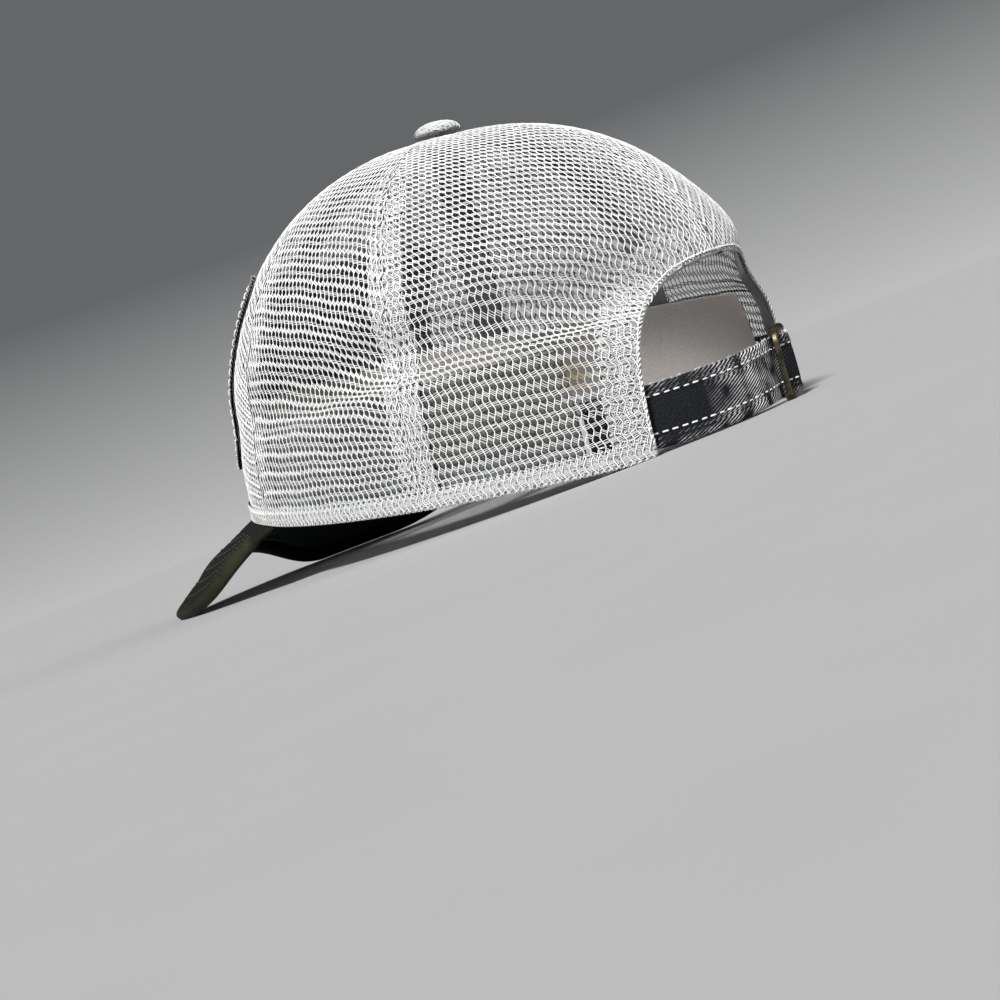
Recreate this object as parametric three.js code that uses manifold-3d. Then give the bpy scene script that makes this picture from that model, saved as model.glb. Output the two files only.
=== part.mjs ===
// Trucker cap: six net panels over a pale sweatband, a curved dark peak, and a denim
// strap with a brass slide across the arched opening at the back.
// Millimetres, +Z up, peak towards -Y, the wearer's left at +X. The cap rests on the
// plane z = 0, on its peak and on the two feet of the rear arch.
import * as THREE from "three";
import { mergeVertices } from "three/addons/utils/BufferGeometryUtils.js";
import Module from "manifold-3d";

const wasm = await Module();
wasm.setup();

// Crown, in the cap's own frame: hem at height 0, turn 0 at the front, 90 at the left, 180 at the back
const CROWN = {
  halfLength: 102, halfWidth: 81, height: 110, narrowing: 0.868, rise: 0.824, goreSwell: 0.6,
};
const SEAM = {
  leftFront: 59.5, leftRear: 103.3, rightRear: -103.3, rightFront: -59.5, width: 10, top: 109.4,
};

// Layers of cloth, as depths inwards from the outside of the net
const GAP = 0.3;
const NET = { outside: 0, inside: 1.2 };
const DOUBLED_NET = { outside: 1.7, inside: 2.6 };
const SWEATBAND = { outside: 2.9, inside: 4.1, bottom: 1.2, top: 38.5, endTurn: 134.3, columns: 38 };
const HEM = { outside: -0.4, inside: 1.6, height: 4.5, columns: 60 };
const ARCH = { halfWidth: 44, height: 53.5, squareness: 3, bandWidth: 9, outside: 2.1, inside: 2.9 };
const PATCH = {
  outside: -1.8, inside: -0.6, bottom: 18, top: 80, halfWidthLow: 56, halfWidthHigh: 50, corner: 9,
  columns: 18, rows: 10,
};
const STRAP = { thickness: 1.8, halfHeight: 9, stepsPerRow: 4 };
const BUCKLE = {
  turn: 198, width: 22, height: 22.4, bar: 1.9, centreBar: 2.6, thickness: 1.8, depth: 2.1, corner: 4,
};
const BUTTON = { radius: 8, height: 5, edge: 1.5, sides: 16 };
const PEAK = {
  cornerTurn: 60, baseDepth: 0.5, halfWidth: 71, cornerForward: 50, length: 103, roundness: 2.7,
  firstSwing: 4, bulge: 2.5, cover: 2.4, rimShare: 0.6, columns: 26, flatRows: 6,
};
const LINING = {
  outside: 2.8, inside: 3.6, reach: 0.9, fromBase: 2.5, fromEdge: 9.8, columns: 20, rows: 6,
};
const FLOOR_CUT = 0.4;

// Small steps along the crown and the peak, over which their slopes are taken
const CROWN_STEP = 0.01;
const PEAK_STEP = 0.004;

// Heights of the net's rows: up an ordinary seam, and up the edge of the rear arch and the rear seam
const ROWS = [
  { seam: 4.8, back: 4.8 },
  { seam: 12, back: 11.5 },
  { seam: 19, back: 18.5 },
  { seam: 26, back: 25 },
  { seam: 32.5, back: 31 },
  { seam: 38.5, back: 36.5 },
  { seam: 42, back: 41.5 },
  { seam: 45.5, back: 46 },
  { seam: 49.5, back: 49.5 },
  { seam: 54, back: 51.9 },
  { seam: 58.5, back: 53.1 },
  { seam: 63, back: 53.5 },
  { seam: 69, back: 62 },
  { seam: 76, back: 72 },
  { seam: 84, back: 81.5 },
  { seam: 92, back: 90.5 },
  { seam: 99.5, back: 99 },
  { seam: 105, back: 105 },
  { seam: 108.2, back: 108.2 },
  { seam: 109.4, back: 109.4 },
  { seam: 109.95, back: 109.95 },
];

// Crease where the crown sinks in above the sweatband, and the brow that it throws over the crease;
// both are deepest at the left rear
const CREASE = [
  { turn: -180, height: 48, depth: 1.5, brow: 0.5 },
  { turn: -150, height: 47, depth: 3.5, brow: 2 },
  { turn: -125, height: 46, depth: 3.5, brow: 2 },
  { turn: -100, height: 44, depth: 2.5, brow: 0.5 },
  { turn: -60, height: 38, depth: 1.5, brow: 0.3 },
  { turn: 0, height: 33, depth: 0.4, brow: 0 },
  { turn: 55, height: 33, depth: 1.2, brow: 0.4 },
  { turn: 75, height: 41, depth: 2, brow: 0.2 },
  { turn: 93, height: 45.5, depth: 3.8, brow: 0.2 },
  { turn: 108, height: 47.2, depth: 4, brow: 0.8 },
  { turn: 121, height: 49, depth: 3.4, brow: 3 },
  { turn: 132, height: 49.6, depth: 4.9, brow: 4.2 },
  { turn: 146, height: 51, depth: 5.8, brow: 3.2 },
  { turn: 160, height: 51, depth: 4, brow: 1.4 },
  { turn: 180, height: 48, depth: 1.5, brow: 0.5 },
];
const CREASE_SHAPE = { below: 9, above: 8.4, browRise: 12, browSize: 16 };

// Single dents and swells of the net, as turn and height of the middle, push outwards and size
const PUCKERS = [
  { turn: 97, height: 60, push: 0.9, wide: 6, tall: 8 },
  { turn: 103, height: 47, push: -0.9, wide: 4, tall: 7 },
  { turn: 116, height: 26, push: 0.6, wide: 9, tall: 5 },
];

// Peak's outer edge, by swing from the corner (0) past the middle (90), and the section of its rolled rim
const PEAK_EDGE = [
  { swing: 0, height: 1 },
  { swing: 22, height: -23.5 },
  { swing: 45, height: -31 },
  { swing: 68, height: -32.2 },
  { swing: 90, height: -19.5 },
  { swing: 112, height: -32.2 },
];
const PEAK_RIM = [
  { fromEdge: 9, top: 0, bottom: 2.4 },
  { fromEdge: 6, top: 0, bottom: 4.2 },
  { fromEdge: 3, top: 0, bottom: 4.6 },
  { fromEdge: 1.1, top: 0.4, bottom: 4.2 },
  { fromEdge: 0, top: 1.5, bottom: 3.1 },
];

// Strap, by turn: height of its middle and depth of its outside; it humps over the slide's centre bar
const STRAP_RUN = [
  { turn: 135.2, middle: 12, depth: 3.3 },
  { turn: 150, middle: 12.1, depth: 3.3 },
  { turn: 168, middle: 13, depth: 2.2 },
  { turn: 186, middle: 14, depth: 3 },
  { turn: 191.9, middle: 14, depth: 3.3 },
  { turn: 197, middle: 14, depth: -1.2 },
  { turn: 199, middle: 14, depth: -1.2 },
  { turn: 204.1, middle: 14, depth: 3.3 },
  { turn: 209, middle: 13.6, depth: 3.4 },
  { turn: 224, middle: 12, depth: 3.4 },
];

const FINISH = {
  net: new THREE.MeshStandardMaterial({ color: 0xc9cbc8, roughness: 0.85, metalness: 0 }),
  sweatband: new THREE.MeshStandardMaterial({ color: 0xbcb4ae, roughness: 0.9, metalness: 0 }),
  denim: new THREE.MeshStandardMaterial({ color: 0x2a2c30, roughness: 0.9, metalness: 0 }),
  cover: new THREE.MeshStandardMaterial({ color: 0x16180f, roughness: 0.8, metalness: 0 }),
  lining: new THREE.MeshStandardMaterial({ color: 0x222c2d, roughness: 0.85, metalness: 0 }),
  brass: new THREE.MeshStandardMaterial({ color: 0x5b5340, roughness: 0.4, metalness: 1 }),
};

const cap = new THREE.Group();
const { lerp, clamp, degToRad } = THREE.MathUtils;

function addPiece(name, geometry, material) {
  const mesh = new THREE.Mesh(geometry, material);
  mesh.name = name;
  cap.add(mesh);
  return mesh;
}

// Smooth reading of one column of a table along its key column
function readings(rows, key, column) {
  const keys = rows.map((row) => row[key]);
  const values = rows.map((row) => row[column]);
  const curve = new THREE.CubicInterpolant(keys, values, 1);
  return (at) => curve.evaluate(clamp(at, keys[0], keys[keys.length - 1]))[0];
}

// Closed wall of cloth: place(across, up, out) maps the unit cube, across, up and out right-handed
function wall(columns, rows, place) {
  const geometry = new THREE.BoxGeometry(1, 1, 1, columns, rows, 1);
  const corners = geometry.attributes.position;
  for (let i = 0; i < corners.count; i++) {
    const spot = place(corners.getX(i) + 0.5, corners.getY(i) + 0.5, corners.getZ(i) + 0.5);
    corners.setXYZ(i, spot.x, spot.y, spot.z);
  }
  geometry.computeVertexNormals();
  return geometry;
}

// Solids for cutting, and back to geometries
function solidOf(geometry) {
  const bare = geometry.clone();
  bare.deleteAttribute("normal");
  bare.deleteAttribute("uv");
  const merged = mergeVertices(bare, 1e-5);
  const triVerts = Uint32Array.from(merged.index.array);
  const vertProperties = Float32Array.from(merged.attributes.position.array);
  return new wasm.Manifold(new wasm.Mesh({ numProp: 3, vertProperties, triVerts }));
}

function geometryOf(solid) {
  const mesh = solid.getMesh();
  const geometry = new THREE.BufferGeometry();
  geometry.setAttribute("position", new THREE.BufferAttribute(mesh.vertProperties, 3));
  geometry.setIndex(new THREE.BufferAttribute(mesh.triVerts, 1));
  geometry.computeVertexNormals();
  return geometry;
}

// Smooth dome of the crown, and the swells and dents that the worn net has
const creaseHeight = readings(CREASE, "turn", "height");
const creaseDepth = readings(CREASE, "turn", "depth");
const browPush = readings(CREASE, "turn", "brow");

function bell(offset, size) {
  return Math.exp(-((offset / size) ** 2));
}

function signedTurn(turn) {
  return turn > 180 ? turn - 360 : turn;
}

function gore(turn) {
  const seams = [-180, SEAM.rightRear, SEAM.rightFront, 0, SEAM.leftFront, SEAM.leftRear, 180];
  const right = clamp(seams.findIndex((seam) => seam > turn), 1, seams.length - 1);
  const share = (turn - seams[right - 1]) / (seams[right] - seams[right - 1]);
  return Math.cos(2 * Math.PI * share);
}

function swell(turn, height, climb) {
  const above = height - creaseHeight(turn);
  const size = above > 0 ? CREASE_SHAPE.above : CREASE_SHAPE.below;
  let push = browPush(turn) * bell(above - CREASE_SHAPE.browRise, CREASE_SHAPE.browSize);
  push -= creaseDepth(turn) * bell(above, size);
  push += CROWN.goreSwell * gore(turn) * Math.sin(2 * climb);
  for (const dent of PUCKERS) {
    push += dent.push * bell(turn - dent.turn, dent.wide) * bell(height - dent.height, dent.tall);
  }
  return push;
}

function climbAt(height) {
  return Math.asin((height / CROWN.height) ** (1 / CROWN.rise));
}

function reachAt(climb) {
  return Math.cos(climb) ** CROWN.narrowing;
}

function crownPoint(turn, climb) {
  const angle = degToRad(turn);
  const reach = reachAt(climb);
  const x = CROWN.halfWidth * Math.sin(angle) * reach;
  const y = -CROWN.halfLength * Math.cos(angle) * reach;
  const z = CROWN.height * Math.sin(climb) ** CROWN.rise;
  const out = new THREE.Vector3(x / CROWN.halfWidth ** 2, y / CROWN.halfLength ** 2, z / CROWN.height ** 2);
  return new THREE.Vector3(x, y, z).addScaledVector(out.normalize(), swell(signedTurn(turn), z, climb));
}

// Point at a depth under the outside of the net, at a turn and a height on the crown
function clothPoint(turn, height, depth) {
  const climb = climbAt(height);
  const low = Math.max(0, climb - CROWN_STEP / 10);
  const sideways = crownPoint(turn + CROWN_STEP, climb).sub(crownPoint(turn - CROWN_STEP, climb));
  const upwards = crownPoint(turn, low + CROWN_STEP / 5).sub(crownPoint(turn, low));
  const outwards = sideways.cross(upwards).normalize();
  return crownPoint(turn, climb).addScaledVector(outwards, -depth);
}

// Turn at a distance in millimetres beside another turn, at one height
function turnBeside(turn, height, distance) {
  const climb = climbAt(height);
  const perDegree = crownPoint(turn + 0.5, climb).distanceTo(crownPoint(turn - 0.5, climb));
  return turn + distance / perDegree;
}

// Turn of the arch's edge, grown outwards by a margin, at a height; straight up the rear seam above it
function archTurn(height, margin) {
  const share = clamp(height / (ARCH.height + margin), 0, 1);
  const across = (ARCH.halfWidth + margin) * (1 - share ** ARCH.squareness) ** (1 / ARCH.squareness);
  const widest = CROWN.halfWidth * reachAt(climbAt(height));
  return 180 - THREE.MathUtils.radToDeg(Math.asin(across / widest));
}

// Net panels, each between two seams; the rear ones are cut away along the arch
const PANELS = [
  { name: "front_panel_left", from: 0, to: SEAM.leftFront, columns: 8 },
  { name: "side_panel_left", from: SEAM.leftFront, to: SEAM.leftRear, columns: 8 },
  { name: "rear_panel_left", from: SEAM.leftRear, to: 180, columns: 12 },
  { name: "front_panel_right", from: SEAM.rightFront, to: 0, columns: 8 },
  { name: "side_panel_right", from: SEAM.rightRear, to: SEAM.rightFront, columns: 8 },
  { name: "rear_panel_right", from: -180, to: SEAM.rightRear, columns: 12 },
];

function panelEdge(seam, row, side) {
  const isBack = Math.abs(seam) === 180;
  const height = isBack ? ROWS[row].back : ROWS[row].seam;
  const turn = isBack ? Math.sign(seam) * archTurn(height, 0) : seam;
  return { turn: turnBeside(turn, height, side * GAP / 2), height };
}

for (const panel of PANELS) {
  const last = ROWS.length - 1;
  const shape = wall(panel.columns, last, (across, up, out) => {
    const row = Math.round(up * last);
    const start = panelEdge(panel.from, row, 1);
    const end = panelEdge(panel.to, row, -1);
    const depth = lerp(NET.inside, NET.outside, out);
    return clothPoint(lerp(start.turn, end.turn, across), lerp(start.height, end.height, across), depth);
  });
  addPiece(panel.name, shape, FINISH.net);
}

// Doubled seam allowances inside the net, along each seam
const SEAMS = [
  { name: "seam_front", turn: 0 },
  { name: "seam_left_front", turn: SEAM.leftFront },
  { name: "seam_left_rear", turn: SEAM.leftRear },
  { name: "seam_right_front", turn: SEAM.rightFront },
  { name: "seam_right_rear", turn: SEAM.rightRear },
  { name: "seam_rear", turn: 180 },
];

for (const seam of SEAMS) {
  const isRear = seam.turn === 180;
  const bottom = isRear ? ARCH.height + ARCH.bandWidth + GAP : ROWS[0].seam;
  const heights = ROWS.map((row) => (isRear ? row.back : row.seam));
  const used = [bottom, ...heights.filter((height) => height > bottom && height <= SEAM.top)];
  const shape = wall(2, used.length - 1, (across, up, out) => {
    const height = used[Math.round(up * (used.length - 1))];
    const turn = turnBeside(seam.turn, height, (across - 0.5) * SEAM.width);
    return clothPoint(turn, height, lerp(DOUBLED_NET.inside, DOUBLED_NET.outside, out));
  });
  addPiece(seam.name, shape, FINISH.net);
}

// Folded hem round the arch, on the panels' rows, from its left foot over the top to its right foot
const legHeights = ROWS.map((row) => row.back).filter((height) => height <= ARCH.height);
const archHeights = [...legHeights, ...legHeights.slice(0, -1).reverse()];
const archBand = wall(archHeights.length - 1, 2, (along, up, out) => {
  const stop = Math.round(along * (archHeights.length - 1));
  const margin = up * ARCH.bandWidth;
  const rise = archHeights[stop] / ARCH.height;
  const height = lerp(archHeights[stop], (ARCH.height + margin) * rise, rise ** 2);
  const edge = archTurn(height, margin);
  const turn = stop < legHeights.length ? edge : 360 - edge;
  return clothPoint(turn, height, lerp(ARCH.inside, ARCH.outside, out));
});
addPiece("arch_band", archBand, FINISH.net);

// Folded bottom hem, from the right foot of the arch round the front to the left foot
const footTurn = archTurn(0, 0);
const hemShape = wall(HEM.columns, 1, (across, up, out) => {
  const turn = lerp(-footTurn, footTurn, across);
  return clothPoint(turn, up * HEM.height, lerp(HEM.inside, HEM.outside, out));
});

// Sweatband inside the net, open across the arch
const sweatRows = ROWS.map((row) => row.seam).filter((height) => height <= SWEATBAND.top);
const sweatHeights = [SWEATBAND.bottom, ...sweatRows];
const sweatbandShape = wall(SWEATBAND.columns, sweatHeights.length - 1, (across, up, out) => {
  const turn = lerp(-SWEATBAND.endTurn, SWEATBAND.endTurn, across);
  const height = sweatHeights[Math.round(up * (sweatHeights.length - 1))];
  return clothPoint(turn, height, lerp(SWEATBAND.inside, SWEATBAND.outside, out));
});
addPiece("sweatband", sweatbandShape, FINISH.sweatband);

// Patch on the front, a rectangle with rounded corners, a little narrower at the top
function patchHalfWidth(height) {
  const rise = (height - PATCH.bottom) / (PATCH.top - PATCH.bottom);
  const side = lerp(PATCH.halfWidthLow, PATCH.halfWidthHigh, rise);
  const toEnd = Math.min(height - PATCH.bottom, PATCH.top - height);
  const into = clamp(PATCH.corner - toEnd, 0, PATCH.corner);
  return side - PATCH.corner + Math.sqrt(PATCH.corner ** 2 - into ** 2);
}

const patchShape = wall(PATCH.columns, PATCH.rows, (across, up, out) => {
  const eased = (1 - Math.cos(Math.PI * up)) / 2;
  const height = lerp(PATCH.bottom, PATCH.top, eased);
  const half = patchHalfWidth(height) / (CROWN.halfWidth * reachAt(climbAt(height)));
  const edge = THREE.MathUtils.radToDeg(Math.asin(half));
  return clothPoint(lerp(-edge, edge, across), height, lerp(PATCH.inside, PATCH.outside, out));
});
addPiece("front_patch", patchShape, FINISH.denim);

// Peak: its cover is ruled from the hem to the outer edge, with a slight swell between
const edgeHeight = readings(PEAK_EDGE, "swing", "height");

function peakBase(side) {
  return clothPoint(PEAK.cornerTurn * side, 0, PEAK.baseDepth).setZ(-GAP);
}

function peakTip(side) {
  const swing = lerp(90, PEAK.firstSwing, Math.abs(side));
  const round = 2 / PEAK.roundness;
  const x = Math.sign(side) * PEAK.halfWidth * Math.cos(degToRad(swing)) ** round;
  const y = -PEAK.cornerForward - PEAK.length * Math.sin(degToRad(swing)) ** round;
  return new THREE.Vector3(x, y, edgeHeight(swing));
}

function peakPoint(side, share) {
  const base = peakBase(side);
  const tip = peakTip(side);
  const long = base.distanceTo(tip);
  const lift = 4 * share * (1 - share) * PEAK.bulge * Math.min(1, long / PEAK.halfWidth);
  return base.lerp(tip, share).add(new THREE.Vector3(0, 0, lift));
}

function underPeak(side, share, depth) {
  const sideways = peakPoint(side + PEAK_STEP, share).sub(peakPoint(side - PEAK_STEP, share));
  const inwards = peakPoint(side, share - PEAK_STEP).sub(peakPoint(side, share + PEAK_STEP));
  return peakPoint(side, share).addScaledVector(sideways.cross(inwards).normalize(), -depth);
}

function peakLength(side) {
  return peakBase(side).distanceTo(peakTip(side));
}

const peakRows = PEAK.flatRows + PEAK_RIM.length - 1;
const peakShape = wall(PEAK.columns, peakRows, (across, up, out) => {
  const side = lerp(-1, 1, across);
  const long = peakLength(side);
  const row = Math.round((1 - up) * peakRows);
  const rimStart = Math.min(PEAK_RIM[0].fromEdge, PEAK.rimShare * long);
  if (row < PEAK.flatRows) {
    const fromEdge = lerp(long, rimStart, row / PEAK.flatRows);
    return underPeak(side, 1 - fromEdge / long, lerp(PEAK.cover, 0, out));
  }
  const rim = PEAK_RIM[row - PEAK.flatRows];
  const fromEdge = rim.fromEdge * rimStart / PEAK_RIM[0].fromEdge;
  return underPeak(side, 1 - fromEdge / long, lerp(rim.bottom, rim.top, out));
});

// Lining under the peak, set inside its rolled rim
const liningShape = wall(LINING.columns, LINING.rows, (across, up, out) => {
  const side = lerp(-LINING.reach, LINING.reach, across);
  const long = peakLength(side);
  const share = lerp(1 - LINING.fromEdge / long, LINING.fromBase / long, up);
  return underPeak(side, share, lerp(LINING.inside, LINING.outside, out));
});
addPiece("peak_underside", liningShape, FINISH.lining);

// Denim strap, tucked in behind the arch's band at both feet
const strapMiddle = readings(STRAP_RUN, "turn", "middle");
const strapDepth = readings(STRAP_RUN, "turn", "depth");

const strapShape = wall((STRAP_RUN.length - 1) * STRAP.stepsPerRow, 1, (across, up, out) => {
  const along = across * (STRAP_RUN.length - 1);
  const row = Math.min(Math.floor(along), STRAP_RUN.length - 2);
  const turn = lerp(STRAP_RUN[row].turn, STRAP_RUN[row + 1].turn, along - row);
  const height = strapMiddle(turn) + lerp(-STRAP.halfHeight, STRAP.halfHeight, up);
  const depth = strapDepth(turn) + lerp(STRAP.thickness, 0, out);
  return clothPoint(turn, height, depth);
});
addPiece("strap", strapShape, FINISH.denim);

// Brass slide: a frame with rounded corners and a centre bar, flat across the strap
function roundedPlate(width, height, corner, depth) {
  const outline = new THREE.Shape();
  const x = width / 2 - corner;
  const y = height / 2 - corner;
  outline.absarc(x, y, corner, 0, Math.PI / 2);
  outline.absarc(-x, y, corner, Math.PI / 2, Math.PI);
  outline.absarc(-x, -y, corner, Math.PI, 1.5 * Math.PI);
  outline.absarc(x, -y, corner, 1.5 * Math.PI, 2 * Math.PI);
  const plate = new THREE.ExtrudeGeometry(outline, { depth, bevelEnabled: false, curveSegments: 5 });
  return plate.translate(0, 0, -depth / 2);
}

const slotWidth = (BUCKLE.width - 2 * BUCKLE.bar - BUCKLE.centreBar) / 2;
const slotMiddle = (BUCKLE.centreBar + slotWidth) / 2;
const slot = new THREE.BoxGeometry(slotWidth, BUCKLE.height - 2 * BUCKLE.bar, 2 * BUCKLE.thickness);
let frame = solidOf(roundedPlate(BUCKLE.width, BUCKLE.height, BUCKLE.corner, BUCKLE.thickness));
for (const side of [-1, 1]) {
  frame = frame.subtract(solidOf(slot.clone().translate(side * slotMiddle, 0, 0)));
}
const buckleShape = geometryOf(frame);
const buckle = addPiece("buckle", buckleShape, FINISH.brass);
const buckleHeight = strapMiddle(BUCKLE.turn);
const buckleSeat = clothPoint(BUCKLE.turn, buckleHeight, BUCKLE.depth);
const buckleSide = clothPoint(BUCKLE.turn + 1, buckleHeight, BUCKLE.depth).sub(buckleSeat).normalize();
const buckleRise = clothPoint(BUCKLE.turn, buckleHeight + 1, BUCKLE.depth).sub(buckleSeat);
const buckleFace = buckleSide.clone().cross(buckleRise).normalize();
const buckleUp = buckleFace.clone().cross(buckleSide);
buckle.position.copy(buckleSeat);
buckle.setRotationFromMatrix(new THREE.Matrix4().makeBasis(buckleSide, buckleUp, buckleFace));

// Covered button at the top of the crown
const buttonProfile = [new THREE.Vector2(0, 0), new THREE.Vector2(BUTTON.radius, 0)];
for (const tilt of [0, 22, 45, 68]) {
  const x = BUTTON.radius * Math.cos(degToRad(tilt));
  const y = BUTTON.edge + (BUTTON.height - BUTTON.edge) * Math.sin(degToRad(tilt));
  buttonProfile.push(new THREE.Vector2(x, y));
}
buttonProfile.push(new THREE.Vector2(0, BUTTON.height));
const buttonShape = new THREE.LatheGeometry(buttonProfile, BUTTON.sides).rotateX(Math.PI / 2);
const button = addPiece("top_button", buttonShape, FINISH.net);
button.position.z = CROWN.height + GAP;

// Rest: the tilt at which the peak and the feet of the arch touch one floor
function lowest(geometry, tilt) {
  const turned = geometry.clone().rotateX(-tilt);
  turned.computeBoundingBox();
  return turned.boundingBox.min.z;
}

let tilt = 0;
let step = degToRad(20);
for (let i = 0; i < 30; i++) {
  step /= 2;
  tilt += lowest(peakShape, tilt) < lowest(hemShape, tilt) ? step : -step;
}
const floorHeight = lowest(peakShape, tilt) + FLOOR_CUT;

// Cloth that meets the floor is pressed flat there
const room = 400;
const ground = new THREE.BoxGeometry(room, room, room);
ground.translate(0, 0, floorHeight - room / 2).rotateX(tilt);
function pressedFlat(geometry) {
  return geometryOf(solidOf(geometry).subtract(solidOf(ground)));
}
addPiece("peak", pressedFlat(peakShape), FINISH.cover);
addPiece("hem_band", pressedFlat(hemShape), FINISH.net);

// The cap stands on the floor with the middle of its box over the origin
cap.rotation.x = -tilt;
cap.updateMatrixWorld(true);
const box = new THREE.Box3().setFromObject(cap, true);
cap.position.set(-(box.min.x + box.max.x) / 2, -(box.min.y + box.max.y) / 2, -floorHeight);

const truckerCap = new THREE.Group();
truckerCap.add(cap);

export default truckerCap;
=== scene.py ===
# Trucker cap at rest on a plain floor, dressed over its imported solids.
import math
import random

import bmesh
import bpy
import numpy as np
from mathutils import Matrix, Vector


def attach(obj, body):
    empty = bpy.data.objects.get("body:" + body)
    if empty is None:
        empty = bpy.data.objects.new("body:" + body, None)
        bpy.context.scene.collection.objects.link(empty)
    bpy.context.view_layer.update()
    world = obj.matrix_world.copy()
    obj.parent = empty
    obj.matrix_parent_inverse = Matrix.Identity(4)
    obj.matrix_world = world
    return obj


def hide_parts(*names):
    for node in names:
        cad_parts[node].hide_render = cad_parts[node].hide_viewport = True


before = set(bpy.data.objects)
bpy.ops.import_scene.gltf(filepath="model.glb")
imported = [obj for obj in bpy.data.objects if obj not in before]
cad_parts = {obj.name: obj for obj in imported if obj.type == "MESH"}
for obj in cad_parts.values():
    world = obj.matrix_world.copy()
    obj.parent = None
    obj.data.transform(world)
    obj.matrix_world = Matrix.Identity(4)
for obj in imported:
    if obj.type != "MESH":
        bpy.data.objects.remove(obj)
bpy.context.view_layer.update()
dice = random.Random(11)
bpy.context.scene.view_settings.view_transform = "Standard"

# Net panels.
# Six gores of stiff warp-knit net: white zigzag wale cords, joined between the rows of
# holes by fine threads. Each gore is cut with its wales along its own middle line.
MM = 0.001
CROWN_HALF_WIDTH = 81.0
CROWN_HALF_LENGTH = 102.0
CROWN_HEIGHT = 110.0
CROWN_NARROWING = 0.868
CROWN_RISE = 0.824
GORE_SWELL = 0.6
SEAM_TURNS = np.array([-180.0, -103.3, -59.5, 0.0, 59.5, 103.3, 180.0])
ARCH_HALF_WIDTH = 44.0
ARCH_HEIGHT = 53.5
ARCH_SQUARENESS = 3
REST_TILT = math.radians(8.99725)
REST_SHIFT = np.array([0.0, 25.97267, 13.03992])
CROWN_MIDDLE = (0.0, 0.026, 0.03)

# Crease above the sweatband and the brow over it: turn, height, depth, brow
CREASE = [
    (-180, 48, 1.5, 0.5), (-150, 47, 3.5, 2), (-125, 46, 3.5, 2), (-100, 44, 2.5, 0.5),
    (-60, 38, 1.5, 0.3), (0, 33, 0.4, 0), (55, 33, 1.2, 0.4), (75, 41, 2, 0.2),
    (93, 45.5, 3.8, 0.2), (108, 47.2, 4, 0.8), (121, 49, 3.4, 3), (132, 49.6, 4.9, 4.2),
    (146, 51, 5.8, 3.2), (160, 51, 4, 1.4), (180, 48, 1.5, 0.5),
]
CREASE_BELOW = 9.0
CREASE_ABOVE = 8.4
BROW_RISE = 12.0
BROW_SIZE = 16.0

# Single dents and swells of the worn net: turn, height, push, width, height of the dent
PUCKERS = [(97, 60, 0.9, 6, 8), (103, 47, -0.9, 4, 7), (116, 26, 0.6, 9, 5)]


def reading(rows, column):
    """Smooth curve through one column of a table, by its first column."""
    keys = np.array([row[0] for row in rows], float)
    values = np.array([row[column] for row in rows], float)

    def at(key):
        key = np.clip(np.asarray(key, float), keys[0], keys[-1])
        right = np.clip(np.searchsorted(keys, key, side="right"), 1, len(keys) - 1)
        left = right - 1
        before = np.where(left > 0, left - 1, right)
        after = np.where(right < len(keys) - 1, right + 1, left)
        span = keys[right] - keys[left]
        w0 = 0.5 * span / (keys[left] - keys[before])
        w1 = 0.5 * span / (keys[after] - keys[right])
        p = (key - keys[left]) / span
        q = p * p
        r = q * p
        return (
            values[before] * (-w0 * r + 2 * w0 * q - w0 * p)
            + values[left] * ((1 + w0) * r + (-1.5 - 2 * w0) * q + (-0.5 + w0) * p + 1)
            + values[right] * ((-1 - w1) * r + (1.5 + w1) * q + 0.5 * p)
            + values[after] * (w1 * r - w1 * q)
        )

    return at


crease_height = reading(CREASE, 1)
crease_depth = reading(CREASE, 2)
brow_push = reading(CREASE, 3)


def bell(offset, size):
    return np.exp(-((offset / size) ** 2))


def swell(turn, height, climb):
    turn = np.where(turn > 180, turn - 360, turn)
    above = height - crease_height(turn)
    size = np.where(above > 0, CREASE_ABOVE, CREASE_BELOW)
    push = brow_push(turn) * bell(above - BROW_RISE, BROW_SIZE) - crease_depth(turn) * bell(above, size)
    right = np.clip(np.searchsorted(SEAM_TURNS, turn, side="right"), 1, len(SEAM_TURNS) - 1)
    share = (turn - SEAM_TURNS[right - 1]) / (SEAM_TURNS[right] - SEAM_TURNS[right - 1])
    push = push + GORE_SWELL * np.cos(2 * np.pi * share) * np.sin(2 * climb)
    for at_turn, at_height, out, wide, tall in PUCKERS:
        push = push + out * bell(turn - at_turn, wide) * bell(height - at_height, tall)
    return push


def height_of(climb):
    return CROWN_HEIGHT * np.sin(climb) ** CROWN_RISE


def climb_at(height):
    return np.arcsin(np.clip(np.asarray(height, float) / CROWN_HEIGHT, 0, 1) ** (1 / CROWN_RISE))


def reach_of(climb):
    return np.clip(np.cos(climb), 0, 1) ** CROWN_NARROWING


def crown_point(turn, climb):
    """Outside of the net at a turn from the front in degrees and a climb in radians, in mm."""
    turn, climb = np.broadcast_arrays(np.asarray(turn, float), np.asarray(climb, float))
    angle = np.radians(turn)
    reach = reach_of(climb)
    spot = np.stack([
        CROWN_HALF_WIDTH * np.sin(angle) * reach,
        -CROWN_HALF_LENGTH * np.cos(angle) * reach,
        height_of(climb),
    ], axis=-1)
    out = spot / np.array([CROWN_HALF_WIDTH, CROWN_HALF_LENGTH, CROWN_HEIGHT]) ** 2
    out /= np.linalg.norm(out, axis=-1, keepdims=True)
    return spot + out * swell(turn, spot[..., 2], climb)[..., None]


def run_along(line):
    """How far along a line of points each of them lies."""
    return np.concatenate([[0], np.cumsum(np.linalg.norm(np.diff(line, axis=0), axis=1))])


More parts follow.
